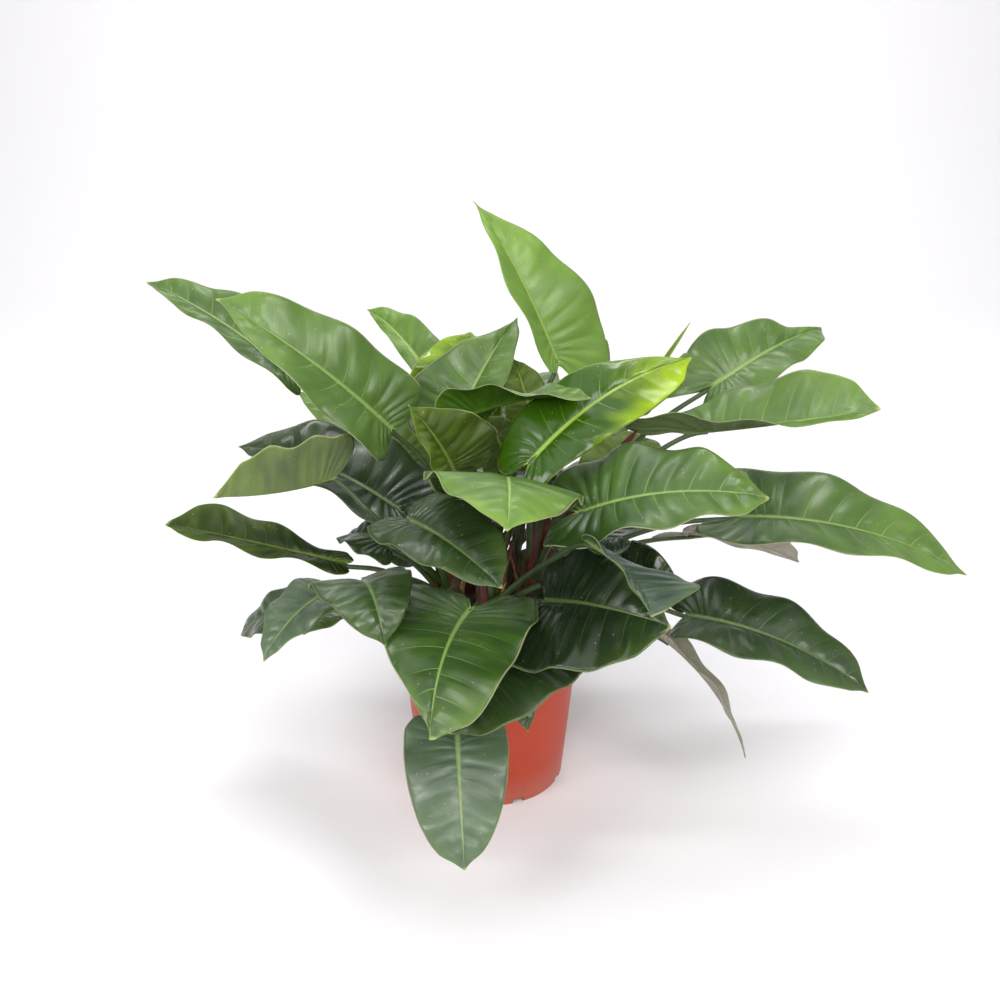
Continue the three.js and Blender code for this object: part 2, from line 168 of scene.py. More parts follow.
veinSettings = {
    "ribWidth": 0.0034,  # half of it, in metres
    "veinWidth": 0.024,  # half of it, as a share of the step from vein to vein
    "veinFade": (1.05, 0.25),  # how far out they end, and how far out they start to fade
    "betweenSteps": 3.0,
    "betweenWidth": 2.2,
    "betweenShare": 0.12,
    "betweenFade": (0.95, 0.3),
    "fineSteps": 11.0,
    "fineWidth": 0.32,
    "fineFade": (0.98, 0.6),
    "bandScale": 1.5,
    "bandContrast": (0.32, 0.68),
    "glowOut": (0.45, 1.0),
    "glowAlong": (0.45, 0.95),
    "edge": (0.972, 0.987),
    "tip": (0.972, 0.998),
    "relief": {"Laterals": 0.55, "Rib": 0.7, "Fine": 0.06, "Bands": 0.8},
}


# Masks and relief of the blade's veins. The blade's own mesh carries how far each point lies along
# the march of the side veins and how far out it is from the midrib.
def makeVeinGroup():
    settings, relief = veinSettings, veinSettings["relief"]
    names = ("Rib", "Laterals", "Fine", "Edge", "Tip", "Bands", "Glow", "Relief")
    tree, given, target = newTree("bladeVeins", "ShaderNodeTree", {"Float": {
        "Vein Width": settings["veinWidth"], "Rib Width": settings["ribWidth"],
    }}, {"Float": names})
    lines, places = (
        wireOf(tree, "ShaderNodeAttribute", output="Vector", attribute_name=name)
        for name in ("veinLines", "bladePlace")
    )
    march, outward, seed = split(lines)
    along, across, _ = split(places)
    out = calc("ABSOLUTE", outward)
    fromRib = calc("ABSOLUTE", across)

    ribHalf = given["Rib Width"] * (1.1 - along)
    rib = 1.0 - smoothStep(fromRib, ribHalf * 0.35, ribHalf * 1.2)

    def vein(steps, widest):
        near = calc("ABSOLUTE", calc("FRACT", march * steps + (0.5 - 0.5 * steps)) - 0.5)
        half = widest * (1.15 - out * 0.85)
        return 1.0 - smoothStep(near, half * 0.3, half)

    # pale side veins that thin out and fade towards the margin
    laterals = vein(1.0, given["Vein Width"]) * smoothStep(out, *settings["veinFade"])
    between = vein(settings["betweenSteps"], given["Vein Width"] * settings["betweenWidth"])
    between = between * smoothStep(out, *settings["betweenFade"]) * settings["betweenShare"]
    fine = vein(settings["fineSteps"], settings["fineWidth"]) * smoothStep(out, *settings["fineFade"])

    # soft bands beside the side veins: they swell the relief and vary the roughness, and their lighter and
    # darker tone is partly the blade's own and partly painted light and shade on the quilting
    bands = noiseOf(combine(march, outward * 0.8, seed), settings["bandScale"], 1.0)
    bands = smoothStep(bands, *settings["bandContrast"])
    # painted light shining through the thin blade: a yellow-green cast near the margin of the outer half,
    # stronger towards the tip
    glow = smoothStep(out, *settings["glowOut"]) * smoothStep(along, *settings["glowAlong"])
    edge = smoothStep(out, *settings["edge"])
    tip = smoothStep(along, *settings["tip"])
    laterals = (laterals + between).clamped()
    height = laterals * relief["Laterals"] + rib * relief["Rib"]
    height = height - fine * relief["Fine"] + bands * relief["Bands"]
    sendOut(target, dict(zip(names, (rib, laterals, fine, edge, tip, bands, glow, height))))
    return tree


growthSettings = {
    "scales": {"Patch Scale": 14.0, "Grain Scale": 700.0, "Speck Scale": 260.0},
    "speckSize": (0.10, 0.22),
    "speckChance": (0.93, 0.95),  # only the few cells above this have one
}


# Soft patches, fine grain and tiny pale specks, for anything that grew.
def makeGrowthGroup():
    settings, names = growthSettings, ("Patches", "Grain", "Specks")
    tree, given, target = newTree(
        "growthMarks", "ShaderNodeTree", {"Float": settings["scales"]}, {"Float": names}
    )
    place = objectPlace(tree)
    dots = addNode(tree, "ShaderNodeTexVoronoi", {"Vector": place, "Scale": given["Speck Scale"]})
    chosen = split(Wire(dots.outputs["Color"]))[0]
    specks = 1.0 - smoothStep(Wire(dots.outputs["Distance"]), *settings["speckSize"])
    specks = specks * smoothStep(chosen, *settings["speckChance"])
    patches = noiseOf(place, given["Patch Scale"], 3.0)
    grain = noiseOf(place, given["Grain Scale"])
    sendOut(target, dict(zip(names, (patches, grain, specks))))
    return tree


veinGroup = makeVeinGroup()
growthGroup = makeGrowthGroup()


def useGroup(tree, group, scales=None):
    node = tree.nodes.new("ShaderNodeGroup")
    node.node_tree = group
    for name, value in (scales or {}).items():
        node.inputs[name].default_value = value
    return {socket.name: Wire(socket) for socket in node.outputs}


def mixColour(share, first, second):
    node = addNode(share.tree, "ShaderNodeMix", {"Factor": share}, data_type="RGBA")
    colourSockets = [socket for socket in node.inputs if socket.type == "RGBA"]
    for socket, colour in zip(colourSockets, (first, second)):
        plug(socket, colour if isinstance(colour, Wire) else (*colour, 1))
    return Wire([socket for socket in node.outputs if socket.type == "RGBA"][0])


def newMaterial(name, roughness=0.5, specular=0.5):
    material = bpy.data.materials.new(name)
    material.use_nodes = True
    tree = material.node_tree
    skin = tree.nodes["Principled BSDF"]
    skin.inputs["Roughness"].default_value = roughness
    skin.inputs["Specular IOR Level"].default_value = specular
    return material, tree, skin


def finishSkin(skin, colour, height, bump):
    plug(skin.inputs["Base Color"], colour)
    parts = {"Height": height, "Strength": bump[0], "Distance": bump[1]}
    plug(skin.inputs["Normal"], wireOf(height.tree, "ShaderNodeBump", parts, "Normal"))


# Upper faces from old to young, and the undersides
bladeFinishes = {
    # deep tones partly of old leaves, partly painted shade for the low leaves under the canopy
    "leafDark": {
        "deep": (0.009, 0.021, 0.006), "light": (0.045, 0.088, 0.022), "vein": (0.08, 0.14, 0.045),
        "rib": (0.115, 0.19, 0.045), "edge": (0.19, 0.26, 0.08), "tip": (0.36, 0.38, 0.11),
        "glow": (0.07, 0.125, 0.016), "roughness": 0.3, "specular": 0.6, "veinShare": 0.7,
        "patchShare": 0.7, "slot": "leaf_dark",
    },
    "leafGreen": {
        "deep": (0.026, 0.066, 0.01), "light": (0.118, 0.215, 0.038), "vein": (0.18, 0.29, 0.085),
        "rib": (0.22, 0.34, 0.08), "edge": (0.45, 0.5, 0.24), "tip": (0.48, 0.48, 0.15),
        "glow": (0.13, 0.235, 0.026), "roughness": 0.33, "specular": 0.5, "veinShare": 0.9,
        "patchShare": 0.8, "slot": "leaf_green",
    },
    # partly the leaves' own green, partly a painted blue-grey reflection of their sheen
    "leafCool": {
        "deep": (0.012, 0.034, 0.015), "light": (0.105, 0.16, 0.085), "vein": (0.15, 0.23, 0.12),
        "rib": (0.2, 0.31, 0.1), "edge": (0.3, 0.38, 0.13), "tip": (0.4, 0.42, 0.13),
        "glow": (0.09, 0.16, 0.045), "roughness": 0.36, "specular": 0.6, "veinShare": 0.6,
        "patchShare": 0.7, "slot": "leaf_green",
    },
    "leafFresh": {
        "deep": (0.052, 0.118, 0.012), "light": (0.18, 0.32, 0.045), "vein": (0.23, 0.37, 0.09),
        "rib": (0.27, 0.4, 0.09), "edge": (0.46, 0.52, 0.24), "tip": (0.48, 0.48, 0.15),
        "glow": (0.19, 0.33, 0.036), "roughness": 0.36, "specular": 0.5, "veinShare": 0.5,
        "patchShare": 0.8, "slot": "leaf_green",
    },
    "leafBright": {
        "deep": (0.028, 0.082, 0.002), "light": (0.345, 0.52, 0.014), "vein": (0.3, 0.45, 0.05),
        "rib": (0.28, 0.44, 0.06), "edge": (0.44, 0.54, 0.14), "tip": (0.5, 0.5, 0.12),
        "glow": (0.36, 0.55, 0.02), "roughness": 0.22, "specular": 0.5, "veinShare": 0.4,
        "patchShare": 0.25, "slot": "leaf_bright",
    },
    "leafFaded": {
        "deep": (0.085, 0.085, 0.06), "light": (0.37, 0.35, 0.275), "vein": (0.3, 0.29, 0.21),
        "rib": (0.2, 0.21, 0.13), "edge": (0.3, 0.31, 0.2), "tip": (0.3, 0.26, 0.14),
        "glow": (0.2, 0.19, 0.13), "roughness": 0.5, "specular": 0.35, "veinShare": 0.5,
        "patchShare": 0.8, "slot": "leaf_dark",
    },
    "leafUnder": {
        "deep": (0.03, 0.058, 0.013), "light": (0.115, 0.17, 0.05), "vein": (0.03, 0.052, 0.014),
        "rib": (0.18, 0.25, 0.08), "edge": (0.4, 0.45, 0.2), "tip": (0.4, 0.4, 0.12),
        "glow": (0.1, 0.16, 0.036), "roughness": 0.5, "specular": 0.22, "veinShare": 0.4,
        "patchShare": 0.8, "slot": "leaf_green",
    },
    "leafUnderBright": {
        "deep": (0.11, 0.14, 0.075), "light": (0.225, 0.32, 0.085), "vein": (0.15, 0.2, 0.06),
        "rib": (0.24, 0.34, 0.08), "edge": (0.42, 0.48, 0.18), "tip": (0.46, 0.46, 0.12),
        "glow": (0.21, 0.31, 0.065), "roughness": 0.44, "specular": 0.3, "veinShare": 0.4,
        "patchShare": 1.3, "slot": "leaf_bright",
    },
    "leafUnderDeep": {
        "deep": (0.016, 0.05, 0.003), "light": (0.065, 0.16, 0.008), "vein": (0.028, 0.07, 0.005),
        "rib": (0.09, 0.17, 0.02), "edge": (0.36, 0.44, 0.16), "tip": (0.4, 0.44, 0.12),
        "glow": (0.05, 0.12, 0.008), "roughness": 0.52, "specular": 0.15, "veinShare": 0.5,
        "patchShare": 0.6, "slot": "leaf_green",
    },
    "leafOlive": {
        "deep": (0.014, 0.028, 0.003), "light": (0.1, 0.165, 0.012), "vein": (0.11, 0.18, 0.03),
        "rib": (0.13, 0.2, 0.03), "edge": (0.38, 0.44, 0.16), "tip": (0.4, 0.44, 0.12),
        "glow": (0.08, 0.14, 0.01), "roughness": 0.42, "specular": 0.22, "veinShare": 0.4,
        "patchShare": 0.6, "slot": "leaf_dark",
    },
}


# How strongly each mark shows, where the finishes don't set it
bladeMarks = {
    "tone": 0.45,  # an even blade lies this far from its deep tone to its light one
    # partly the blade's own tone, partly painted light and shade on the quilting between side veins
    "bands": 0.26,
    "fine": 0.07,
    "grain": 0.22,
    # how strongly the painted light shining through the blade's outer half shows
    "glow": 0.45,
    "rib": 0.9,
    "edge": 0.85,
    "tip": 0.8,
    "specks": 0.35,
    "speckColour": (0.75, 0.78, 0.68),
    "roughPatches": 0.20,
    "roughBands": 0.14,
    "roughRib": 0.06,
    "reliefGrain": 0.10,
    "reliefPatches": 0.5,
    "bump": (0.5, 0.0010),
}


def makeBladeMaterial(name, finish):
    marks = bladeMarks
    material, tree, skin = newMaterial(name, finish["roughness"], finish["specular"])
    veins = useGroup(tree, veinGroup)
    growth = useGroup(tree, growthGroup)
    # partly the leaf's own tone, partly painted shade where the blade lies low or under other leaves and
    # painted light where it is lit
    tint = wireOf(tree, "ShaderNodeAttribute", output="Fac", attribute_name="leafTint")
    share = (growth["Patches"] - 0.5) * finish["patchShare"] + marks["tone"] + tint
    # partly painted light and shade: lighter and darker tone in bands along the quilting
    share = share + (veins["Bands"] - 0.5) * marks["bands"]
    share = share - veins["Fine"] * marks["fine"] + (growth["Grain"] - 0.5) * marks["grain"]
    colour = mixColour(share.clamped(), finish["deep"], finish["light"])
    for mark, key, strength in (
        ("Glow", "glow", marks["glow"]), ("Laterals", "vein", finish["veinShare"]),
        ("Rib", "rib", marks["rib"]), ("Edge", "edge", marks["edge"]), ("Tip", "tip", marks["tip"]),
    ):
        colour = mixColour(veins[mark] * strength, colour, finish[key])
    colour = mixColour(growth["Specks"] * marks["specks"], colour, marks["speckColour"])
    rough = (growth["Patches"] - 0.5) * marks["roughPatches"]
    rough = rough - (veins["Bands"] - 0.5) * marks["roughBands"]
    rough = rough + finish["roughness"] + veins["Rib"] * marks["roughRib"]
    plug(skin.inputs["Roughness"], rough)
    height = veins["Relief"] + growth["Grain"] * marks["reliefGrain"]
    height = height + growth["Patches"] * marks["reliefPatches"]
    finishSkin(skin, colour, height, marks["bump"])
    return material


stalkFinish = {
    "dark": (0.016, 0.034, 0.009),
    "pale": (0.068, 0.115, 0.028),
    "roughness": 0.38,
    "patchScale": 30.0,
    "stretch": (1.0, 1.0, 0.12),
    "streakScale": 420.0,
    "bump": (0.25, 0.0006),
}


def makeStalkMaterial():
    finish = stalkFinish
    material, tree, skin = newMaterial("stalkGreen", finish["roughness"])
    growth = useGroup(tree, growthGroup, {"Patch Scale": finish["patchScale"]})
    streaks = stretchedNoise(tree, finish["stretch"], finish["streakScale"])
    share = (growth["Patches"] * 0.7 + streaks * 0.7 - 0.25).clamped()
    finishSkin(skin, mixColour(share, finish["dark"], finish["pale"]), streaks, finish["bump"])
    return material


potFinish = {
    "colour": (0.42, 0.044, 0.017),
    "faded": (0.48, 0.080, 0.042),
    "dust": (0.55, 0.34, 0.26),
    # painted shade for the inner wall above the soil
    "stain": (0.035, 0.016, 0.010),
    "roughness": 0.40,
    "specular": 0.28,
    "scales": {"Patch Scale": 9.0, "Grain Scale": 900.0, "Speck Scale": 420.0},
    "patches": 0.5,
    "runs": 0.22,
    "runStretch": (60.0, 60.0, 3.0),
    "runContrast": (0.52, 0.78),
    "footDust": 0.35,
    "dustTop": 0.05,
    "scuffs": 0.18,
    "scuffStretch": (30.0, 30.0, 260.0),
    "scuffContrast": (0.70, 0.80),
    "stained": 0.92,
    "stainRadius": (0.1165, 0.1150),
    "stainHeight": (0.19, 0.20),
    "roughPatches": 0.16,
    "roughScuffs": 0.15,
    "bump": (0.3, 0.0006),
}


def makePotMaterial():
    finish = potFinish
    material, tree, skin = newMaterial("potTerracottaPlastic", finish["roughness"], finish["specular"])
    growth = useGroup(tree, growthGroup, finish["scales"])
    place = objectPlace(tree)
    height = split(place)[2]
    # water runs down the wall, so its marks are long and narrow
    runs = stretchedNoise(tree, finish["runStretch"], 1.0, 3.0)
    scuffs = stretchedNoise(tree, finish["scuffStretch"], 1.0, 4.0, 0.7)
    # painted shade darkens the inner wall above the soil, inside the rim
    fromAxis = calc("LENGTH", calc("MULTIPLY", place, (1.0, 1.0, 0.0)))
    inside = smoothStep(fromAxis, *finish["stainRadius"]) * smoothStep(height, *finish["stainHeight"])
    lowDust = smoothStep(height, finish["dustTop"], 0.0) * growth["Patches"] * finish["footDust"]
    colour = finish["colour"]
    for share, coat in (
        (growth["Patches"] * finish["patches"], "faded"),
        (smoothStep(runs, *finish["runContrast"]) * finish["runs"], "faded"),
        (lowDust.clamped(), "dust"),
        (smoothStep(scuffs, *finish["scuffContrast"]) * finish["scuffs"], "dust"),
        (inside * finish["stained"], "stain"),
    ):
        colour = mixColour(share, colour, finish[coat])
    rough = finish["roughness"] + (growth["Patches"] - 0.5) * finish["roughPatches"]
    rough = rough + smoothStep(scuffs, 0.6, 0.8) * finish["roughScuffs"]
    plug(skin.inputs["Roughness"], rough)
    finishSkin(skin, colour, growth["Grain"] * 0.5 + growth["Patches"] * 0.6, finish["bump"])
    return material


soilFinish = {
    "dark": (0.014, 0.009, 0.006),
    "pale": (0.052, 0.034, 0.021),
    "bark": (0.12, 0.072, 0.038),
    "barkShare": 0.7,
    "perlite": (0.62, 0.59, 0.53),
    "roughness": 0.95,
    "specular": 0.15,
    "scales": {"Patch Scale": 60.0, "Grain Scale": 900.0, "Speck Scale": 500.0},
    "bump": (0.8, 0.0015),
}


def makeSoilMaterial():
    finish = soilFinish
    material, tree, skin = newMaterial("soilDark", finish["roughness"], finish["specular"])
    growth = useGroup(tree, growthGroup, finish["scales"])
    tone = wireOf(tree, "ShaderNodeAttribute", output="Fac", attribute_name="crumbTone")
    colour = mixColour(growth["Patches"], finish["dark"], finish["pale"])
    bark = smoothStep(tone, 0.5, 0.9) * finish["barkShare"]
    colour = mixColour(bark, colour, finish["bark"])
    colour = mixColour(smoothStep(tone, 0.95, 0.96), colour, finish["perlite"])
    finishSkin(skin, colour, growth["Grain"] + growth["Patches"], finish["bump"])
    return material


# Dark and pale tone, the fibres' colour, and roughness
fibreFinishes = {
    "stemBark": ((0.030, 0.034, 0.013), (0.075, 0.058, 0.028), (0.12, 0.09, 0.048), 0.75),
    "sheathRed": ((0.040, 0.007, 0.006), (0.125, 0.020, 0.013), (0.17, 0.060, 0.030), 0.45),
    "sheathGreen": ((0.018, 0.026, 0.007), (0.055, 0.070, 0.018), (0.10, 0.085, 0.030), 0.5),
    "sheathDry": ((0.14, 0.055, 0.022), (0.36, 0.19, 0.085), (0.46, 0.31, 0.17), 0.8),
}


fibreMarks = {
    "specular": 0.35,
    "patchScale": 34.0,
    "patchContrast": (0.38, 0.66),
    "stretch": (1.0, 1.0, 0.07),
    "scale": 900.0,
    "contrast": (0.45, 0.7),
    "share": 0.6,
    "bump": (0.6, 0.001),
}


def makeFibreMaterial(name, dark, pale, fibre, roughness):
    marks = fibreMarks
    material, tree, skin = newMaterial(name, roughness, marks["specular"])
    growth = useGroup(tree, growthGroup, {"Patch Scale": marks["patchScale"]})
    fibres = stretchedNoise(tree, marks["stretch"], marks["scale"], 3.0)
    colour = mixColour(smoothStep(growth["Patches"], *marks["patchContrast"]), dark, pale)
    colour = mixColour(smoothStep(fibres, *marks["contrast"]) * marks["share"], colour, fibre)
    finishSkin(skin, colour, fibres + growth["Patches"] * 0.5, marks["bump"])
    return material


materials = {name: makeBladeMaterial(name, finish) for name, finish in bladeFinishes.items()}
materials["stalkGreen"] = makeStalkMaterial()
materials["pot"] = makePotMaterial()
materials["soil"] = makeSoilMaterial()
for name, finish in fibreFinishes.items():
    materials[name] = makeFibreMaterial(name, *finish)


print("leaves")

# Stems: place in the pot, height of the top, radius at the soil and at the top
stems = {
    "left": {"at": (-50, 0), "top": 316, "radius": 23, "topRadius": 15},
    "right": {"at": (50, -5), "top": 316, "radius": 23, "topRadius": 15},
    "front": {"at": (0, -50), "top": 296, "radius": 22, "topRadius": 15},
    "back": {"at": (0, 50), "top": 320, "radius": 23, "topRadius": 15},
}

stalkSettings = {
    "flareRadius": 6.2,
    "stalkRadius": 4.2,
    "endRadius": 3.0,
    "tipRadius": 1.2,
    "rootOut": 9,
    "rise": 0.1,
    "ribReach": 0.1,
    "ribDepth": 3.0,  # the stalk runs out inside the keel under the midrib
    "endDepth": 0.4,
    "flareEnd": 0.16,
    "points": 44,
    "sides": 14,
}

# Heights on the blade, which are smaller on a small leaf
bladeRelief = {
    "keel": 2.2,  # how far the midrib stands below the blade at its foot
    "groove": 1.1,
    "puff": 2.4,  # each half arches up between midrib and margin
    "pleat": 1.6,  # the skin swells between one side vein and the next
    "ripple": 2.2,
    "tipDroop": 1.5,
    "crease": 5,
}

bladeSettings = {
    "rows": 104,
    "columns": 39,
    "thickness": 1.3,
    "veinPairs": 13.0,
    "veinLead": 0.2,  # the right half's side veins stand a little ahead of the left half's
    "veinWander": 1.1,
    "pleatPower": 1.3,
    "keelHalf": 0.0045,  # half the keel's width, in metres
    "cusp": 0.45,  # how much the last tenth is pinched into a point
    "sweep": 1.4,
    "waves": 2.5,
    "fullWidth": 80,  # a leaf at least this wide has the full relief
}

# Half outline of a flat blade: across in half widths, along in lengths, and the vein's place on the rib
marginStations = [
    (0.05, -0.03, 0.0),
    (0.50, -0.15, 0.03),
    (0.89, -0.05, 0.07),
    (1.00, 0.12, 0.13),
    (0.96, 0.33, 0.24),
    (0.83, 0.54, 0.42),
    (0.60, 0.74, 0.63),
    (0.30, 0.90, 0.84),
    (0.0, 1.0, 1.0),
]
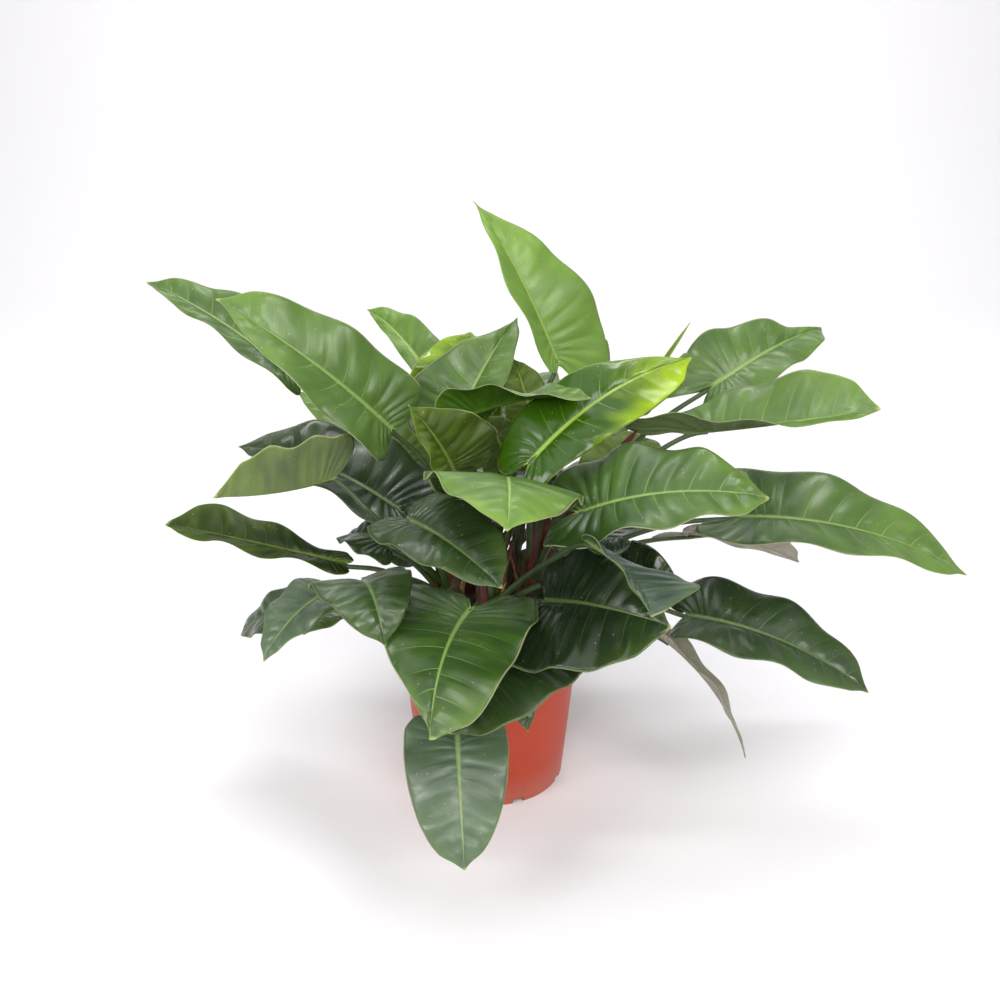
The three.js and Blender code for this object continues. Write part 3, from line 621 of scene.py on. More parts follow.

# Millimetres, as the frame has them: root height, foot, tip, half widths, face, arch, folds, wave,
# finish, and what only some leaves have
# the tone shift at foot and tip, and on the left and right half, is partly each leaf's own tone, partly
# painted shade where a blade lies low, near the crown or under other leaves, and painted light where it is
# lit
leaves = {
    "left": [
        ("01_far_upper_left", 286, (-235, 50, 520), (-430, 130, 625), (24, 50), (-2, -3, 10), 14,
         (12, 22), 5, "leafGreen", {"bow": (0, 48, 0), "lobes": (0.4, 0.4), "fullness": (0.7, 0.9),
         "tint": (-0.1, 0.05)}),
        ("02_upper_left", 300, (-115, -20, 480), (-300, -60, 645), (50, 66), (1, -7, 8), 16, (10, 10), 5,
         "leafGreen", {"bow": (20, 10, 0), "lobes": (0.3, 0.3), "fullness": (1.2, 0.72),
         "tint": (0, 0.35), "sideTint": (0.1, 0)}),
        ("06_centre_turned", 302, (-30, -5, 490), (115, -70, 535), (34, 45), (0, 8, 6), 12, (20, 20), 4,
         "leafGreen", {"twist": 70, "fullness": (0.8, 0.8), "under": "leafUnderDeep", "tint": (0.1, 0.3)}),
        ("19_front_left", 266, (-90, -150, 420), (15, -270, 395), (64, 50), (1, -6, 8), 14, (-4, 12), 5,
         "leafDark", {"lobes": (0.6, 0.8), "fullness": (0.85, 0.85)}),
        ("20_low_left", 250, (-145, -140, 340), (-110, -230, 305), (52, 62), (0, -2, 10), 30, (5, 8), 4,
         "leafDark", {"lobes": (1, 0.6), "tint": (0.1, 0.4)}),
        ("21_lower_left", 238, (-180, -100, 310), (-250, -200, 270), (40, 42), (-2, -3, 9), 16, (8, 8), 4,
         "leafCool", {"lobes": (1, 0.4), "tint": (0.15, 0.4)}),
        ("22_lower_left_back", 230, (-225, 0, 240), (-340, 80, 155), (40, 36), (-3, -4, 7), 12, (10, 10),
         4, "leafDark", {"lobes": (1, 0.3), "tint": (0.1, 0.2)}),
        ("23_lower_left_under", 222, (-180, -40, 250), (-220, -110, 255), (38, 38), (-1, -3, 9), 10,
         (8, 8), 3, "leafGreen", {"tint": (0.1, 0.2)}),
        ("24_far_left", 244, (-180, -20, 305), (-420, 60, 325), (30, 62), (-1, -2, 10), 2, (12, 18), 6,
         "leafOlive", {"lobes": (0.3, 0.3), "necks": (0.3, 0.95), "fullness": (0.6, 0.4), "pleat": 1.3,
         "tint": (-0.4, -0.2)}),
        ("25_left_boat", 270, (-180, -60, 435), (-295, -170, 455), (70, 54), (0, 2, 10), -6, (64, 32), 4,
         "leafCool", {"bow": (0, -35, 0), "fullness": (0.3, 1), "under": "leafUnderBright",
         "tint": (-0.1, 0.1)}),
        ("26_left_broad", 280, (-110, -15, 375), (-315, 50, 435), (50, 84), (-1, -2, 10), 20, (8, 12), 6,
         "leafDark", {"lobes": (0.6, 0.6), "fullness": (0.9, 0.9), "pleat": 1.2, "tint": (-0.35, 0.1)}),
        ("29_left_small", 250, (-120, -40, 335), (-185, 20, 320), (40, 40), (-2, -1, 9), 14, (15, 15), 4,
         "leafDark", {}),
        ("38_centre_left", 292, (-40, -70, 445), (-90, -80, 530), (24, 66), (3, -8, 6), 10, (10, 10), 5,
         "leafOlive", {"lobes": (0.5, 1.2), "fullness": (1, 1.8), "tint": (-0.2, 0.05),
         "sideTint": (0.35, 0)}),
        ("41_under_upper_left", 294, (-100, 90, 390), (-255, 150, 475), (38, 60), (1, -6, 9), 12, (8, 10),
         4, "leafGreen", {"bow": (15, 20, 15), "tint": (0.55, 0.8)}),
        ("44_centre_dark", 256, (25, 0, 425), (-5, 35, 480), (34, 36), (0, -8, 6), 8, (10, 10), 4,
         "leafOlive", {"tint": (-0.1, -0.05)}),
    ],
    "right": [
        ("08_bright_centre", 302, (45, -85, 460), (240, 10, 560), (56, 62), (-1, -8, 9), 12, (-12, 8), 5,
         "leafBright", {"twist": 32, "bend": -14, "lobes": (0.8, 0.7), "necks": (0, 0.5),
         "fullness": (1.6, 0.8), "tint": (-1.1, 0.2), "sideTint": (-0.6, 0.5)}),
        ("09_upper_right", 298, (275, 60, 510), (430, 160, 560), (60, 44), (2, -6, 9), 14, (12, 14), 6,
         "leafGreen", {"lobes": (2, 1), "fullness": (2.2, 0.6), "tint": (0, 0.25)}),
        ("10_right_boat", 284, (235, -30, 480), (440, -80, 525), (83, 56), (0, 0, 10), -3, (26, 42), 4,
         "leafGreen", {"twist": 46, "lobes": (0.8, 2.5), "necks": (0.45, 0), "fullness": (0.7, 1),
         "pleat": 1.3, "tint": (0.1, 0.4)}),
        ("11_right_centre", 280, (100, -110, 410), (305, -160, 450), (80, 66), (0, -4, 10), 20, (8, 8), 7,
         "leafGreen", {"fullness": (0.95, 0.6), "pleat": 2, "tint": (-0.35, 0.15)}),
        ("12_far_right", 268, (305, 0, 360), (585, -40, 300), (84, 62), (0, -3, 10), 26, (10, 9), 5,
         "leafGreen", {"fullness": (1.15, 0.78), "pleat": 1.6, "tint": (-0.25, 0.45)}),
        ("13_right_edge_on", 254, (260, 70, 305), (435, 170, 220), (55, 55), (-3, 4, 9), 10, (10, 10), 3,
         "leafFaded", {"under": "leafFaded", "tint": (0, 0.3)}),
        ("14_lower_right", 244, (240, -70, 260), (445, -150, 200), (62, 60), (1, -4, 9), 24, (6, 12), 6,
         "leafDark", {"lobes": (1, 0.3), "necks": (0, 0.15), "fullness": (0.8, 0.85), "tint": (-0.1, 0.2),
         "sideTint": (-0.3, 0.4)}),
        ("15_hanging_right", 232, (210, -35, 215), (320, -100, 75), (22, 38), (8, -2, 4), 17, (30, 25), 4,
         "leafFaded", {"fullness": (1.6, 1.6), "under": "leafFaded", "tint": (0.6, 0.9)}),
        ("35_right_under", 248, (160, -80, 305), (220, -125, 320), (52, 50), (0, -8, 6), 14, (10, 10), 4,
         "leafDark", {"tint": (-0.4, -0.35)}),
        ("36_right_small", 256, (140, -35, 315), (185, -10, 325), (24, 24), (0, -5, 8), 6, (10, 10), 2,
         "leafDark", {"tint": (-0.45, -0.45)}),
        ("40_hidden_centre", 300, (55, 50, 460), (30, 95, 535), (32, 32), (0, -8, 6), 10, (10, 10), 4,
         "leafOlive", {"tint": (0.15, 0.2)}),
    ],
    "front": [
        ("16_pale_folded", 268, (105, -200, 415), (165, -295, 375), (98, 14), (8, 2, 6), 10, (2, 20), 3,
         "leafCool", {"bow": (0, -5, -12), "twist": 56, "lobes": (0.2, 0.2), "necks": (0.8, 0),
         "fullness": (0.3, 1), "tint": (-1.1, -0.15)}),
        ("17_front_right", 246, (65, -130, 310), (195, -230, 330), (70, 96), (0, -7, 8), 14, (5, 6), 6,
         "leafDark", {"lobes": (1, 0.5), "fullness": (1, 0.6), "pleat": 1.3, "tint": (-0.55, -0.2)}),
        ("18_front_large", 252, (-20, -150, 310), (-60, -310, 240), (82, 88), (0, -3, 10), 20, (6, 6), 5,
         "leafGreen", {"bend": 8, "lobes": (1.3, 1.3), "fullness": (0.6, 2), "pleat": 1.4,
         "tint": (-0.35, -0.3)}),
        ("30_hanging_front", 240, (-35, -225, 200), (-25, -330, 90), (56, 60), (0, -6, 8), 14, (6, 8), 4,
         "leafCool", {"lobes": (0.6, 0.6), "fullness": (0.9, 0.75), "pleat": 0.6, "tint": (0.15, 0.35)}),
        ("31_under_front", 238, (50, -150, 260), (-45, -250, 210), (76, 66), (0, -3, 10), 14, (8, 8), 4,
         "leafDark", {"lobes": (0.5, 0.3), "fullness": (0.62, 1)}),
        ("32_small_front", 228, (20, -140, 250), (45, -195, 175), (24, 24), (1, -5, 8), 8, (10, 10), 2,
         "leafDark", {}),
        ("33_low_right_front", 228, (75, -70, 260), (110, -125, 210), (32, 32), (1, -5, 8), 8, (10, 10),
         3, "leafDark", {}),
        ("37_centre_hood", 280, (15, -140, 460), (20, -275, 460), (88, 88), (2, -2, 10), 26, (-8, -8), 6,
         "leafFresh", {"lobes": (1.3, 1.3), "tint": (-0.6, 0.05)}),
        ("43_mid_dark", 258, (135, -75, 320), (75, -60, 345), (30, 30), (0, -4, 9), 10, (8, 8), 4,
         "leafDark", {}),
    ],
    "back": [
        ("03_back_left", 282, (-80, 140, 500), (-170, 260, 560), (16, 38), (-2, -6, 8), 10, (10, 10), 4,
         "leafFresh", {"bend": 5, "tint": (-0.1, 0.1)}),
        ("04_pale_behind", 308, (-35, 100, 445), (-25, 155, 555), (80, 50), (0, -8, 6), 10, (12, 12), 5,
         "leafBright", {"fullness": (0.85, 0.85), "tint": (-0.15, -0.1)}),
        ("05_upper_centre", 296, (-45, 60, 450), (35, 130, 580), (74, 44), (-2, -7, 7), 14, (12, 12), 4,
         "leafGreen", {"lobes": (0.8, 1), "fullness": (2.2, 0.9), "tint": (-0.1, 0.25)}),
        ("07_tallest", 306, (85, 85, 530), (-20, 135, 725), (66, 84), (6, -8, 5), 12, (25, 10), 4,
         "leafFresh", {"lobes": (0.2, 1.4), "necks": (0.7, 0), "fullness": (1.9, 1.7),
         "tint": (0.15, 0.3)}),
        ("39_rolled_spike", 294, (185, 30, 510), (240, 40, 595), (7, 7), (0, -8, 4), 2, (60, 60), 0,
         "leafUnderBright", {"under": "leafUnderBright", "tint": (0.5, 0.6)}),
        ("42_right_of_centre", 266, (155, 60, 385), (215, 150, 410), (50, 50), (0, -4, 9), 12, (10, 10),
         5, "leafOlive", {"tint": (0.3, 0.4)}),
        ("45_back_low_left", 256, (-95, 130, 330), (-195, 270, 300), (50, 50), (0, 1, 10), 22, (8, 8), 5,
         "leafDark", {}),
        ("46_back_low", 250, (0, 165, 320), (5, 345, 280), (60, 60), (0, 1, 10), 24, (8, 8), 6,
         "leafDark", {}),
        ("47_back_low_right", 258, (105, 140, 330), (200, 290, 300), (54, 54), (0, 1, 10), 22, (8, 8), 5,
         "leafDark", {}),
        ("48_back_middle_left", 274, (-65, 185, 410), (-120, 345, 430), (54, 54), (0, -2, 10), 20,
         (10, 10), 5, "leafGreen", {}),
        ("49_back_middle", 282, (35, 190, 425), (60, 370, 430), (60, 60), (0, -1, 10), 22, (10, 10), 6,
         "leafGreen", {}),
        ("50_back_middle_right", 272, (130, 175, 410), (245, 310, 425), (56, 56), (0, -2, 10), 20,
         (10, 10), 5, "leafGreen", {}),
        ("51_back_foot_right", 238, (125, 115, 265), (220, 255, 225), (48, 48), (0, 1, 10), 20, (8, 8), 4,
         "leafDark", {}),
        ("52_back_foot_left", 236, (-105, 100, 265), (-205, 225, 220), (46, 46), (0, 1, 10), 20, (8, 8),
         4, "leafDark", {}),
    ],
}


# A modifier's tree: the geometry comes in first, and one geometry goes out.
def newModifierTree(name, inputs):
    geometry = {"Geometry": ["Geometry"]}
    tree, given, target = newTree(name, "GeometryNodeTree", {**geometry, **inputs}, geometry)
    tree.is_modifier = True
    return tree, given, target


def join(*parts):
    node = addNode(parts[0].tree, "GeometryNodeJoinGeometry")
    for part in parts:
        plug(node.inputs[0], part)
    return Wire(node.outputs[0])


def realize(geometry):
    return wireOf(geometry.tree, "GeometryNodeRealizeInstances", {"Geometry": geometry})


def setMaterial(geometry, material, selection=None):
    return wireOf(geometry.tree, "GeometryNodeSetMaterial", {
        "Geometry": geometry, "Selection": selection, "Material": material,
    })


def store(geometry, name, kind, value, domain="POINT"):
    parts = {"Geometry": geometry, "Name": name, "Value": value}
    return wireOf(geometry.tree, "GeometryNodeStoreNamedAttribute", parts, data_type=kind, domain=domain)


def stored(tree, name, kind):
    return wireOf(tree, "GeometryNodeInputNamedAttribute", {"Name": name}, data_type=kind)


def floatCurve(factor, column):
    node = addNode(factor.tree, "ShaderNodeFloatCurve", {"Value": factor})
    mapping = node.mapping
    mapping.clip_min_y = -1
    mapping.use_clip = False
    points = mapping.curves[0].points
    last = len(marginStations) - 1
    while len(points) < len(marginStations):
        points.new(0.5, 0.5)
    for at, (point, row) in enumerate(zip(points, marginStations)):
        point.location = (at / last, row[column])
    mapping.update()
    return Wire(node.outputs[0])


sideInputs = ("Width", "Fold", "Lobe", "Neck", "Fullness", "Tint")
leafInputs = {
    "Vector": ("Foot", "Tip", "Face"),
    "Float": (
        *("Left " + name for name in sideInputs), *("Right " + name for name in sideInputs),
        "Foot Tint", "Tip Tint", "Twist", "Bend", "Arch", "Wave", "Phase", "Thickness", "Keel", "Groove",
        "Puff", "Pleat", "Vein Pairs", "Cusp", "Ripple", "Tip Droop", "Sweep", "Waves", "Crease",
        "Flare Radius", "Stalk Radius", "End Radius", "Tip Radius", "Rib Share",
    ),
    "Int": ("Rows", "Columns", "Sides"),
    "Material": ("Upper", "Under", "Stalk"),
}


# One leaf: the blade from a flat grid, and the stalk along the curve that the modifier sits on.
def makeLeafTree():
    tree, given, target = newModifierTree("philodendronLeaf", leafInputs)
    blade = bladeSettings
    span = given["Tip"] - given["Foot"]
    length = calc("LENGTH", span)
    along = calc("NORMALIZE", span)
    across = calc("NORMALIZE", calc("CROSS_PRODUCT", along, given["Face"]))
    up = calc("CROSS_PRODUCT", across, along)

    sheet = wireOf(tree, "GeometryNodeMeshGrid", {
        "Size X": 2.0, "Size Y": 1.0, "Vertices X": given["Columns"], "Vertices Y": given["Rows"],
    })
    outward, station, _ = split(wireOf(tree, "GeometryNodeInputPosition"))
    station = station + 0.5
    side = calc("SIGN", outward)
    out = calc("ABSOLUTE", outward)
    onRight = calc("GREATER_THAN", outward, 0.0)
    edgeAcross, edgeAlong, rib = (floatCurve(station, column) for column in range(3))
    isLobe = calc("LESS_THAN", edgeAlong, 0.0)

    def ofSide(name):
        return given["Left " + name] + onRight * (given["Right " + name] - given["Left " + name])

    edgeAlong = edgeAlong * (1.0 + isLobe * (ofSide("Lobe") - 1.0))
    place = rib + (edgeAlong - rib) * out ** given["Sweep"]
    fold = ofSide("Fold")
    slim = 1.0 - ofSide("Neck") * (1.0 - rib) ** 2.0
    spread = edgeAcross ** (1.0 + (1.0 - isLobe) * (ofSide("Fullness") - 1.0))
    spread = spread * (1.0 - given["Cusp"] * smoothStep(edgeAlong, 0.88, 0.985))
    width = ofSide("Width") * spread * slim * out
    hump = place * 4.0 * (1.0 - place)
    ribLine = given["Foot"] + along * (length * place)
    ribLine = ribLine + across * (given["Bend"] * hump) + up * (given["Arch"] * hump)
    slope = given["Arch"] * 4.0 * (1.0 - place * 2.0) / length
    turn = given["Twist"] * place
    cosine, sine = calc("COSINE", turn), calc("SINE", turn)
    level = across * cosine - up * sine
    normal = calc("NORMALIZE", up * cosine + across * sine - along * slope)

    calm = calc("MINIMUM", 1.0, (1.0 - place) * 3.0)
    swing = calc("SINE", place * given["Waves"] * (2 * math.pi) + given["Phase"] * side)
    wave = given["Wave"] * out ** 2.0 * swing * calm
    # the crease at the midrib is rounded, and each half arches up between midrib and margin
    rounded = calc("SQRT", width * width + given["Crease"] ** 2.0) - given["Crease"]
    puff = given["Puff"] * out * (1.0 - out) * 4.0 * edgeAcross
    wander = noiseOf(given["Foot"] * 31.0 + combine(side, station * 5.0, 0.0), 1.0)
    march = station * given["Vein Pairs"] + side * blade["veinLead"] + (wander - 0.5) * blade["veinWander"]
    pleat = calc("ABSOLUTE", calc("COSINE", march * math.pi)) ** blade["pleatPower"]
    pleat = given["Pleat"] * pleat * smoothStep(out, 0.02, 0.25) * (1.0 - out ** 3.0)
    pleat = pleat * smoothStep(place, 0.97, 0.85)
    curl = noiseOf(given["Foot"] * 9.0 + combine(outward, place * 2.4, given["Phase"]), 1.4)
    ripple = given["Ripple"] * (curl - 0.5) * 2.0 * out
    droop = given["Tip Droop"] * smoothStep(place, 0.86, 1.0) ** 2.0
    lift = rounded * calc("SINE", fold) + wave + puff + pleat + ripple - droop
    sheetPlace = ribLine + level * (side * width * calc("COSINE", fold)) + normal * lift

    lines = combine(march, outward, given["Phase"] * 3.7)
    # tone shift along and across the blade: partly its own tone, partly painted shade and light
    toneAndShadingChange = given["Tip Tint"] - given["Foot Tint"]
    tint = given["Foot Tint"] + toneAndShadingChange * smoothStep(place, 0.0, 1.0) + ofSide("Tint") * out ** 2.0
    sheet = store(sheet, "veinLines", "FLOAT_VECTOR", lines)
    sheet = store(sheet, "bladePlace", "FLOAT_VECTOR", combine(place, side * width, 0.0))
    sheet = store(sheet, "leafTint", "FLOAT", tint)
    sheet = store(sheet, "gridPlace", "FLOAT", station)
    sheet = wireOf(tree, "GeometryNodeSetPosition", {"Geometry": sheet, "Position": sheetPlace})

    whole = join(bladeSkins(tree, given, sheet), stalkTube(tree, given))
    leaf = realize(wireOf(tree, "GeometryNodeSetShadeSmooth", {"Geometry": whole}))
    partHere = stored(tree, "leafPart", "INT")
    for part, material in enumerate(("Upper", "Under", "Stalk")):
        isPart = calc("COMPARE", partHere, float(part), 0.1)
        leaf = setMaterial(leaf, given[material], isPart)
    sendOut(target, {"Geometry": leaf})
    return tree


# Two skins, which meet at the margin and stand apart inside it
def bladeSkins(tree, given, sheet):
    out = calc("ABSOLUTE", split(stored(tree, "veinLines", "FLOAT_VECTOR"))[1])
    place, across, _ = split(stored(tree, "bladePlace", "FLOAT_VECTOR"))
    station = stored(tree, "gridPlace", "FLOAT")
    facing = wireOf(tree, "GeometryNodeInputNormal")
    ribHalf = (1.1 - place) * bladeSettings["keelHalf"]
    onRib = 1.0 - smoothStep(calc("ABSOLUTE", across), 0.0, ribHalf)
    inside = smoothStep(out, 1.0, 0.93) * smoothStep(station, 0.0, 0.02)
    inside = inside * smoothStep(station, 1.0, 0.985)
    half = given["Thickness"] * 0.5
    upOffset = half * inside - given["Groove"] * onRib * (1.0 - place * 0.7) * inside
    downOffset = (half + given["Keel"] * onRib * (1.05 - place)) * inside
    skins = []
    for part, shift in enumerate((upOffset, 0.0 - downOffset)):
        skin = wireOf(tree, "GeometryNodeSetPosition", {"Geometry": sheet, "Offset": facing * shift})
        if part:
            skin = wireOf(tree, "GeometryNodeFlipFaces", {"Mesh": skin})
        skins.append(store(skin, "leafPart", "INT", part, "FACE"))
    return wireOf(tree, "GeometryNodeMergeByDistance", {"Geometry": join(*skins), "Distance": 0.00001})


def stalkTube(tree, given):
    share = wireOf(tree, "GeometryNodeSplineParameter", output="Factor")
    ribStart = 1.0 - given["Rib Share"]
    radius = given["Stalk Radius"]
    for thicker, thinner, start, end in (
        ("Flare", "Stalk", stalkSettings["flareEnd"], 0.0), ("End", "Stalk", 0.0, ribStart),
        ("Tip", "End", ribStart, 1.0),
    ):
        change = given[thicker + " Radius"] - given[thinner + " Radius"]
        radius = radius + change * smoothStep(share, start, end)
    ring = wireOf(tree, "GeometryNodeCurvePrimitiveCircle", {"Resolution": given["Sides"], "Radius": 1.0})
    tube = wireOf(tree, "GeometryNodeCurveToMesh", {
        "Curve": given["Geometry"], "Profile Curve": ring, "Scale": radius, "Fill Caps": True,
    })
    return store(tube, "leafPart", "INT", 2, "FACE")


def leafFrame(foot, tip, face):
    along = (tip - foot).normalized()
    across = along.cross(face).normalized()
    return along, across, across.cross(along)


# A smooth curve through a few points, its steps spaced by the root of the gaps between them
def smoothPath(points, count):
    ends = [points[0] * 2 - points[1]] + points + [points[-1] * 2 - points[-2]]
    fine = []
    steps = 12
    for at in range(len(points) - 1):
        p0, p1, p2, p3 = ends[at:at + 4]
        gap0, gap1, gap2 = (max(1e-6, (b - a).length ** 0.5) for a, b in ((p0, p1), (p1, p2), (p2, p3)))
        start = ((p1 - p0) / gap0 - (p2 - p0) / (gap0 + gap1) + (p2 - p1) / gap1) * gap1
        end = ((p2 - p1) / gap1 - (p3 - p1) / (gap1 + gap2) + (p3 - p2) / gap2) * gap1
        for step in range(steps + (at == len(points) - 2)):
            t = step / steps
            square, cube = t * t, t * t * t
            fine.append(
                p1 * (2 * cube - 3 * square + 1) + start * (cube - 2 * square + t)
                + p2 * (3 * square - 2 * cube) + end * (cube - square)
            )
    return evenSteps(fine, count)


def evenSteps(fine, count):
    reach = [0.0]
    for a, b in zip(fine, fine[1:]):
        reach.append(reach[-1] + (b - a).length)
    path, at = [], 0
    for step in range(count):
        wanted = reach[-1] * step / (count - 1)
        while at < len(fine) - 2 and reach[at + 1] < wanted:
            at += 1
        share = (wanted - reach[at]) / max(1e-9, reach[at + 1] - reach[at])
        path.append(fine[at].lerp(fine[at + 1], min(1, share)))
    return path, reach[-1]


def stalkPath(stem, rootHeight, foot, tip, face, arch, bow, bend):
    stalk = stalkSettings
    axis = Vector((*stem["at"], rootHeight))
    outward = (foot - axis) * Vector((1, 1, 0))
    root = axis + outward.normalized() * stalk["rootOut"]
    along, across, up = leafFrame(foot, tip, face)
    length = (tip - foot).length

    def under(share, depth):
        hump = 4 * share * (1 - share)
        return foot + along * (length * share) + across * (bend * hump) + up * (arch * hump - depth)

    end = under(0, stalk["endRadius"] + stalk["endDepth"])
    way = end - root
    points = [root]
    for share in (1 / 3, 2 / 3):
        hump = math.sin(math.pi * share)
        lift = Vector((0, 0, way.length * stalk["rise"] * hump))
        points.append(root + way * share + lift + bow * hump)
    points += [end, under(stalk["ribReach"], stalk["ribDepth"])]
    path, total = smoothPath(points, stalk["points"])
    return path, stalk["ribReach"] * length / total


# A modifier's values, by the sockets' names written as one word: tipDroop is for Tip Droop
def setInputs(modifier, values):
    for item in modifier.node_group.interface.items_tree:
        key = item.name[0].lower() + item.name[1:].replace(" ", "")
        if item.item_type == "SOCKET" and item.in_out == "INPUT" and key in values:
            value = values[key]
            modifier[item.identifier] = tuple(value) if isinstance(value, Vector) else value


def addTree(source, tree, values):
    modifier = source.modifiers.new(tree.name, "NODES")
    modifier.node_group = tree
    setInputs(modifier, values)


def newPiece(name, data):
    piece = bpy.data.objects.new(name, data)
    scene.collection.objects.link(piece)
    return piece


def pieceFrom(body, name):
    mesh = bpy.data.meshes.new(name)
    body.to_mesh(mesh)
    body.free()
    return newPiece(name, mesh)


# Evaluates an object's modifiers into a plain mesh object, and takes the first object away
def plainMesh(source, name):
    graph = bpy.context.evaluated_depsgraph_get()
    mesh = bpy.data.meshes.new_from_object(
        source.evaluated_get(graph), preserve_all_data_layers=True, depsgraph=graph
    )
    mesh.name = name
    piece = newPiece(name, mesh)
    bpy.data.objects.remove(source)
    return piece


def millimetres(sizes):
    return {name: size * mm for name, size in sizes.items()}


# What some leaves have for each side: the socket, the table's key and the usual value
sideShapes = (
    ("Lobe", "lobes", 1), ("Neck", "necks", 0), ("Fullness", "fullness", 1), ("Tint", "sideTint", 0),
)


def makeLeaf(tree, stem, row, number):
    name, rootHeight, foot, tip, widths, face, arch, folds, wave, tone, extra = row
    foot, tip, face = Vector(foot), Vector(tip), Vector(face)
    bend = extra.get("bend", 0)
    bow = Vector(extra.get("bow", (0, 0, 0)))
    path, ribShare = stalkPath(stem, rootHeight, foot, tip, face, arch, bow, bend)
    curve = bpy.data.curves.new("stalkPath", "CURVE")
    curve.dimensions = "3D"
    spline = curve.splines.new("POLY")
    spline.points.add(len(path) - 1)
    for point, place in zip(spline.points, path):
        point.co = (*(place * mm), 1)
    source = newPiece("stalkPath", curve)

    sides = {}
    for at, side in enumerate(("left", "right")):
        sides[side + "Width"] = widths[at] * mm
        sides[side + "Fold"] = math.radians(folds[at])
        for socket, key, usual in sideShapes:
            sides[side + socket] = float(extra.get(key, (usual, usual))[at])
    footTint, tipTint = extra.get("tint", (0, 0))
    small = min(1, sum(widths) / bladeSettings["fullWidth"])
    relief = {**bladeRelief, "pleat": bladeRelief["pleat"] * extra.get("pleat", 1)}
    radii = {key: size for key, size in stalkSettings.items() if key.endswith("Radius")}
    addTree(source, tree, {
        **bladeSettings, **sides, **millimetres(radii),
        **millimetres({key: size * small for key, size in relief.items()}),
        **millimetres({"foot": foot, "tip": tip, "bend": bend, "arch": arch, "wave": wave}),
        "thickness": bladeSettings["thickness"] * mm, "face": face, "phase": float(number),
        "twist": math.radians(extra.get("twist", 0)),
        "footTint": float(footTint), "tipTint": float(tipTint),
        "ribShare": ribShare, "sides": stalkSettings["sides"],
        "upper": materials[tone], "under": materials[extra.get("under", "leafUnder")],
        "stalk": materials["stalkGreen"],
    })
    piece = plainMesh(source, f"fine_leaf_{name}")
    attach(piece, "root")
    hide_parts(f"leaf_{name}")


leafTree = makeLeafTree()
for stemName, rows in leaves.items():
    for number, row in enumerate(rows):
        makeLeaf(leafTree, stems[stemName], row, number)
    print("  leaves on the", stemName, "stem:", len(rows))


print("pot")

potSettings = {
    "height": 225,
    "footRadius": 95,
    "rimRadius": 120,
    "wall": 2.6,
    "floor": 3.5,
    "edge": 2.0,
    "bandHeight": 22,
    "wallRings": (60, 120),  # heights of the rings that the wall is drawn through
    "step": 3.5,
    "notches": 8,
    "notchWidth": 15,
    "notchDepth": 16,
    "notchHeight": 12,
    "holes": 6,
    "holeRadius": 7,
    "holeCircle": 62,
    "rounding": 0.7,
    "roundedAngle": 50,  # edges turned further than this are rounded
    "segments": 144,
}


def potInner(height):
    pot = potSettings
    spread = pot["rimRadius"] - pot["step"] - pot["footRadius"]
    return pot["footRadius"] + spread * height / pot["height"] - pot["wall"]


def potOuter(height):
    return potInner(height) + potSettings["wall"]


# A closed body of revolution: the profile's first and last points lie on the axis.
def latheMesh(name, profile, segments, at=(0, 0), shape=None):
    body = bmesh.new()
    rings = []
    for radius, height in profile:
        ring = []
        for side in range(segments if radius else 1):
            angle = 2 * math.pi * side / segments
            wide = radius * (shape(angle, height) if shape else 1)
            x, y = at[0] + wide * math.cos(angle), at[1] + wide * math.sin(angle)
            ring.append(body.verts.new((x * mm, y * mm, height * mm)))
        rings.append(ring)
    for low, high in zip(rings, rings[1:]):
        for side in range(segments):
            after = (side + 1) % segments
            corners = [ring[way % len(ring)] for ring, way in (
                (low, side), (low, after), (high, after), (high, side),
            )]
            body.faces.new(list(dict.fromkeys(corners)))
    bmesh.ops.recalc_face_normals(body, faces=body.faces)
    for face in body.faces:
        face.smooth = True
    return pieceFrom(body, name)


def copiesOn(points, shape, turn, scale=None):
    turned = wireOf(turn.tree, "FunctionNodeEulerToRotation", {"Euler": turn})
    return wireOf(points.tree, "GeometryNodeInstanceOnPoints", {
        "Points": points, "Instance": shape, "Rotation": turned, "Scale": scale,
    })


# Cuts the notches round the pot's foot and the drain holes in its floor.
def makeDrainTree():
    tree, given, target = newModifierTree("potDrainage", {
        "Float": ("Foot Radius", "Notch Width", "Notch Depth", "Notch Height", "Hole Radius", "Hole Circle",
                  "Floor"),
        "Int": ("Notches", "Holes"),
        "Material": ("Material",),
    })
    block = wireOf(tree, "GeometryNodeMeshCube", {
        "Size": combine(given["Notch Depth"], given["Notch Width"], given["Notch Height"]),
    })
    drill = wireOf(tree, "GeometryNodeMeshCylinder", {
        "Vertices": 32, "Radius": given["Hole Radius"], "Depth": given["Floor"] * 4.0,
    })
    cutters = []
    for tool, count, circle, turn in (
        (block, "Notches", "Foot Radius", 0.5), (drill, "Holes", "Hole Circle", 0.0),
    ):
        ring = wireOf(tree, "GeometryNodeMeshCircle", {"Vertices": given[count], "Radius": given[circle]})
        index = wireOf(tree, "GeometryNodeInputIndex")
        angle = (index + turn) * (2 * math.pi) / given[count]
        spot = combine(calc("COSINE", angle), calc("SINE", angle), 0.0) * given[circle]
        placed = wireOf(tree, "GeometryNodeSetPosition", {"Geometry": ring, "Position": spot})
        cutters.append(copiesOn(placed, tool, combine(0.0, 0.0, angle)))
    cutters = realize(join(*cutters))
    cut = wireOf(tree, "GeometryNodeMeshBoolean", {0: given["Geometry"], 1: cutters},
                 operation="DIFFERENCE", solver="EXACT")
    sendOut(target, {"Geometry": setMaterial(realize(cut), given["Material"])})
    return tree


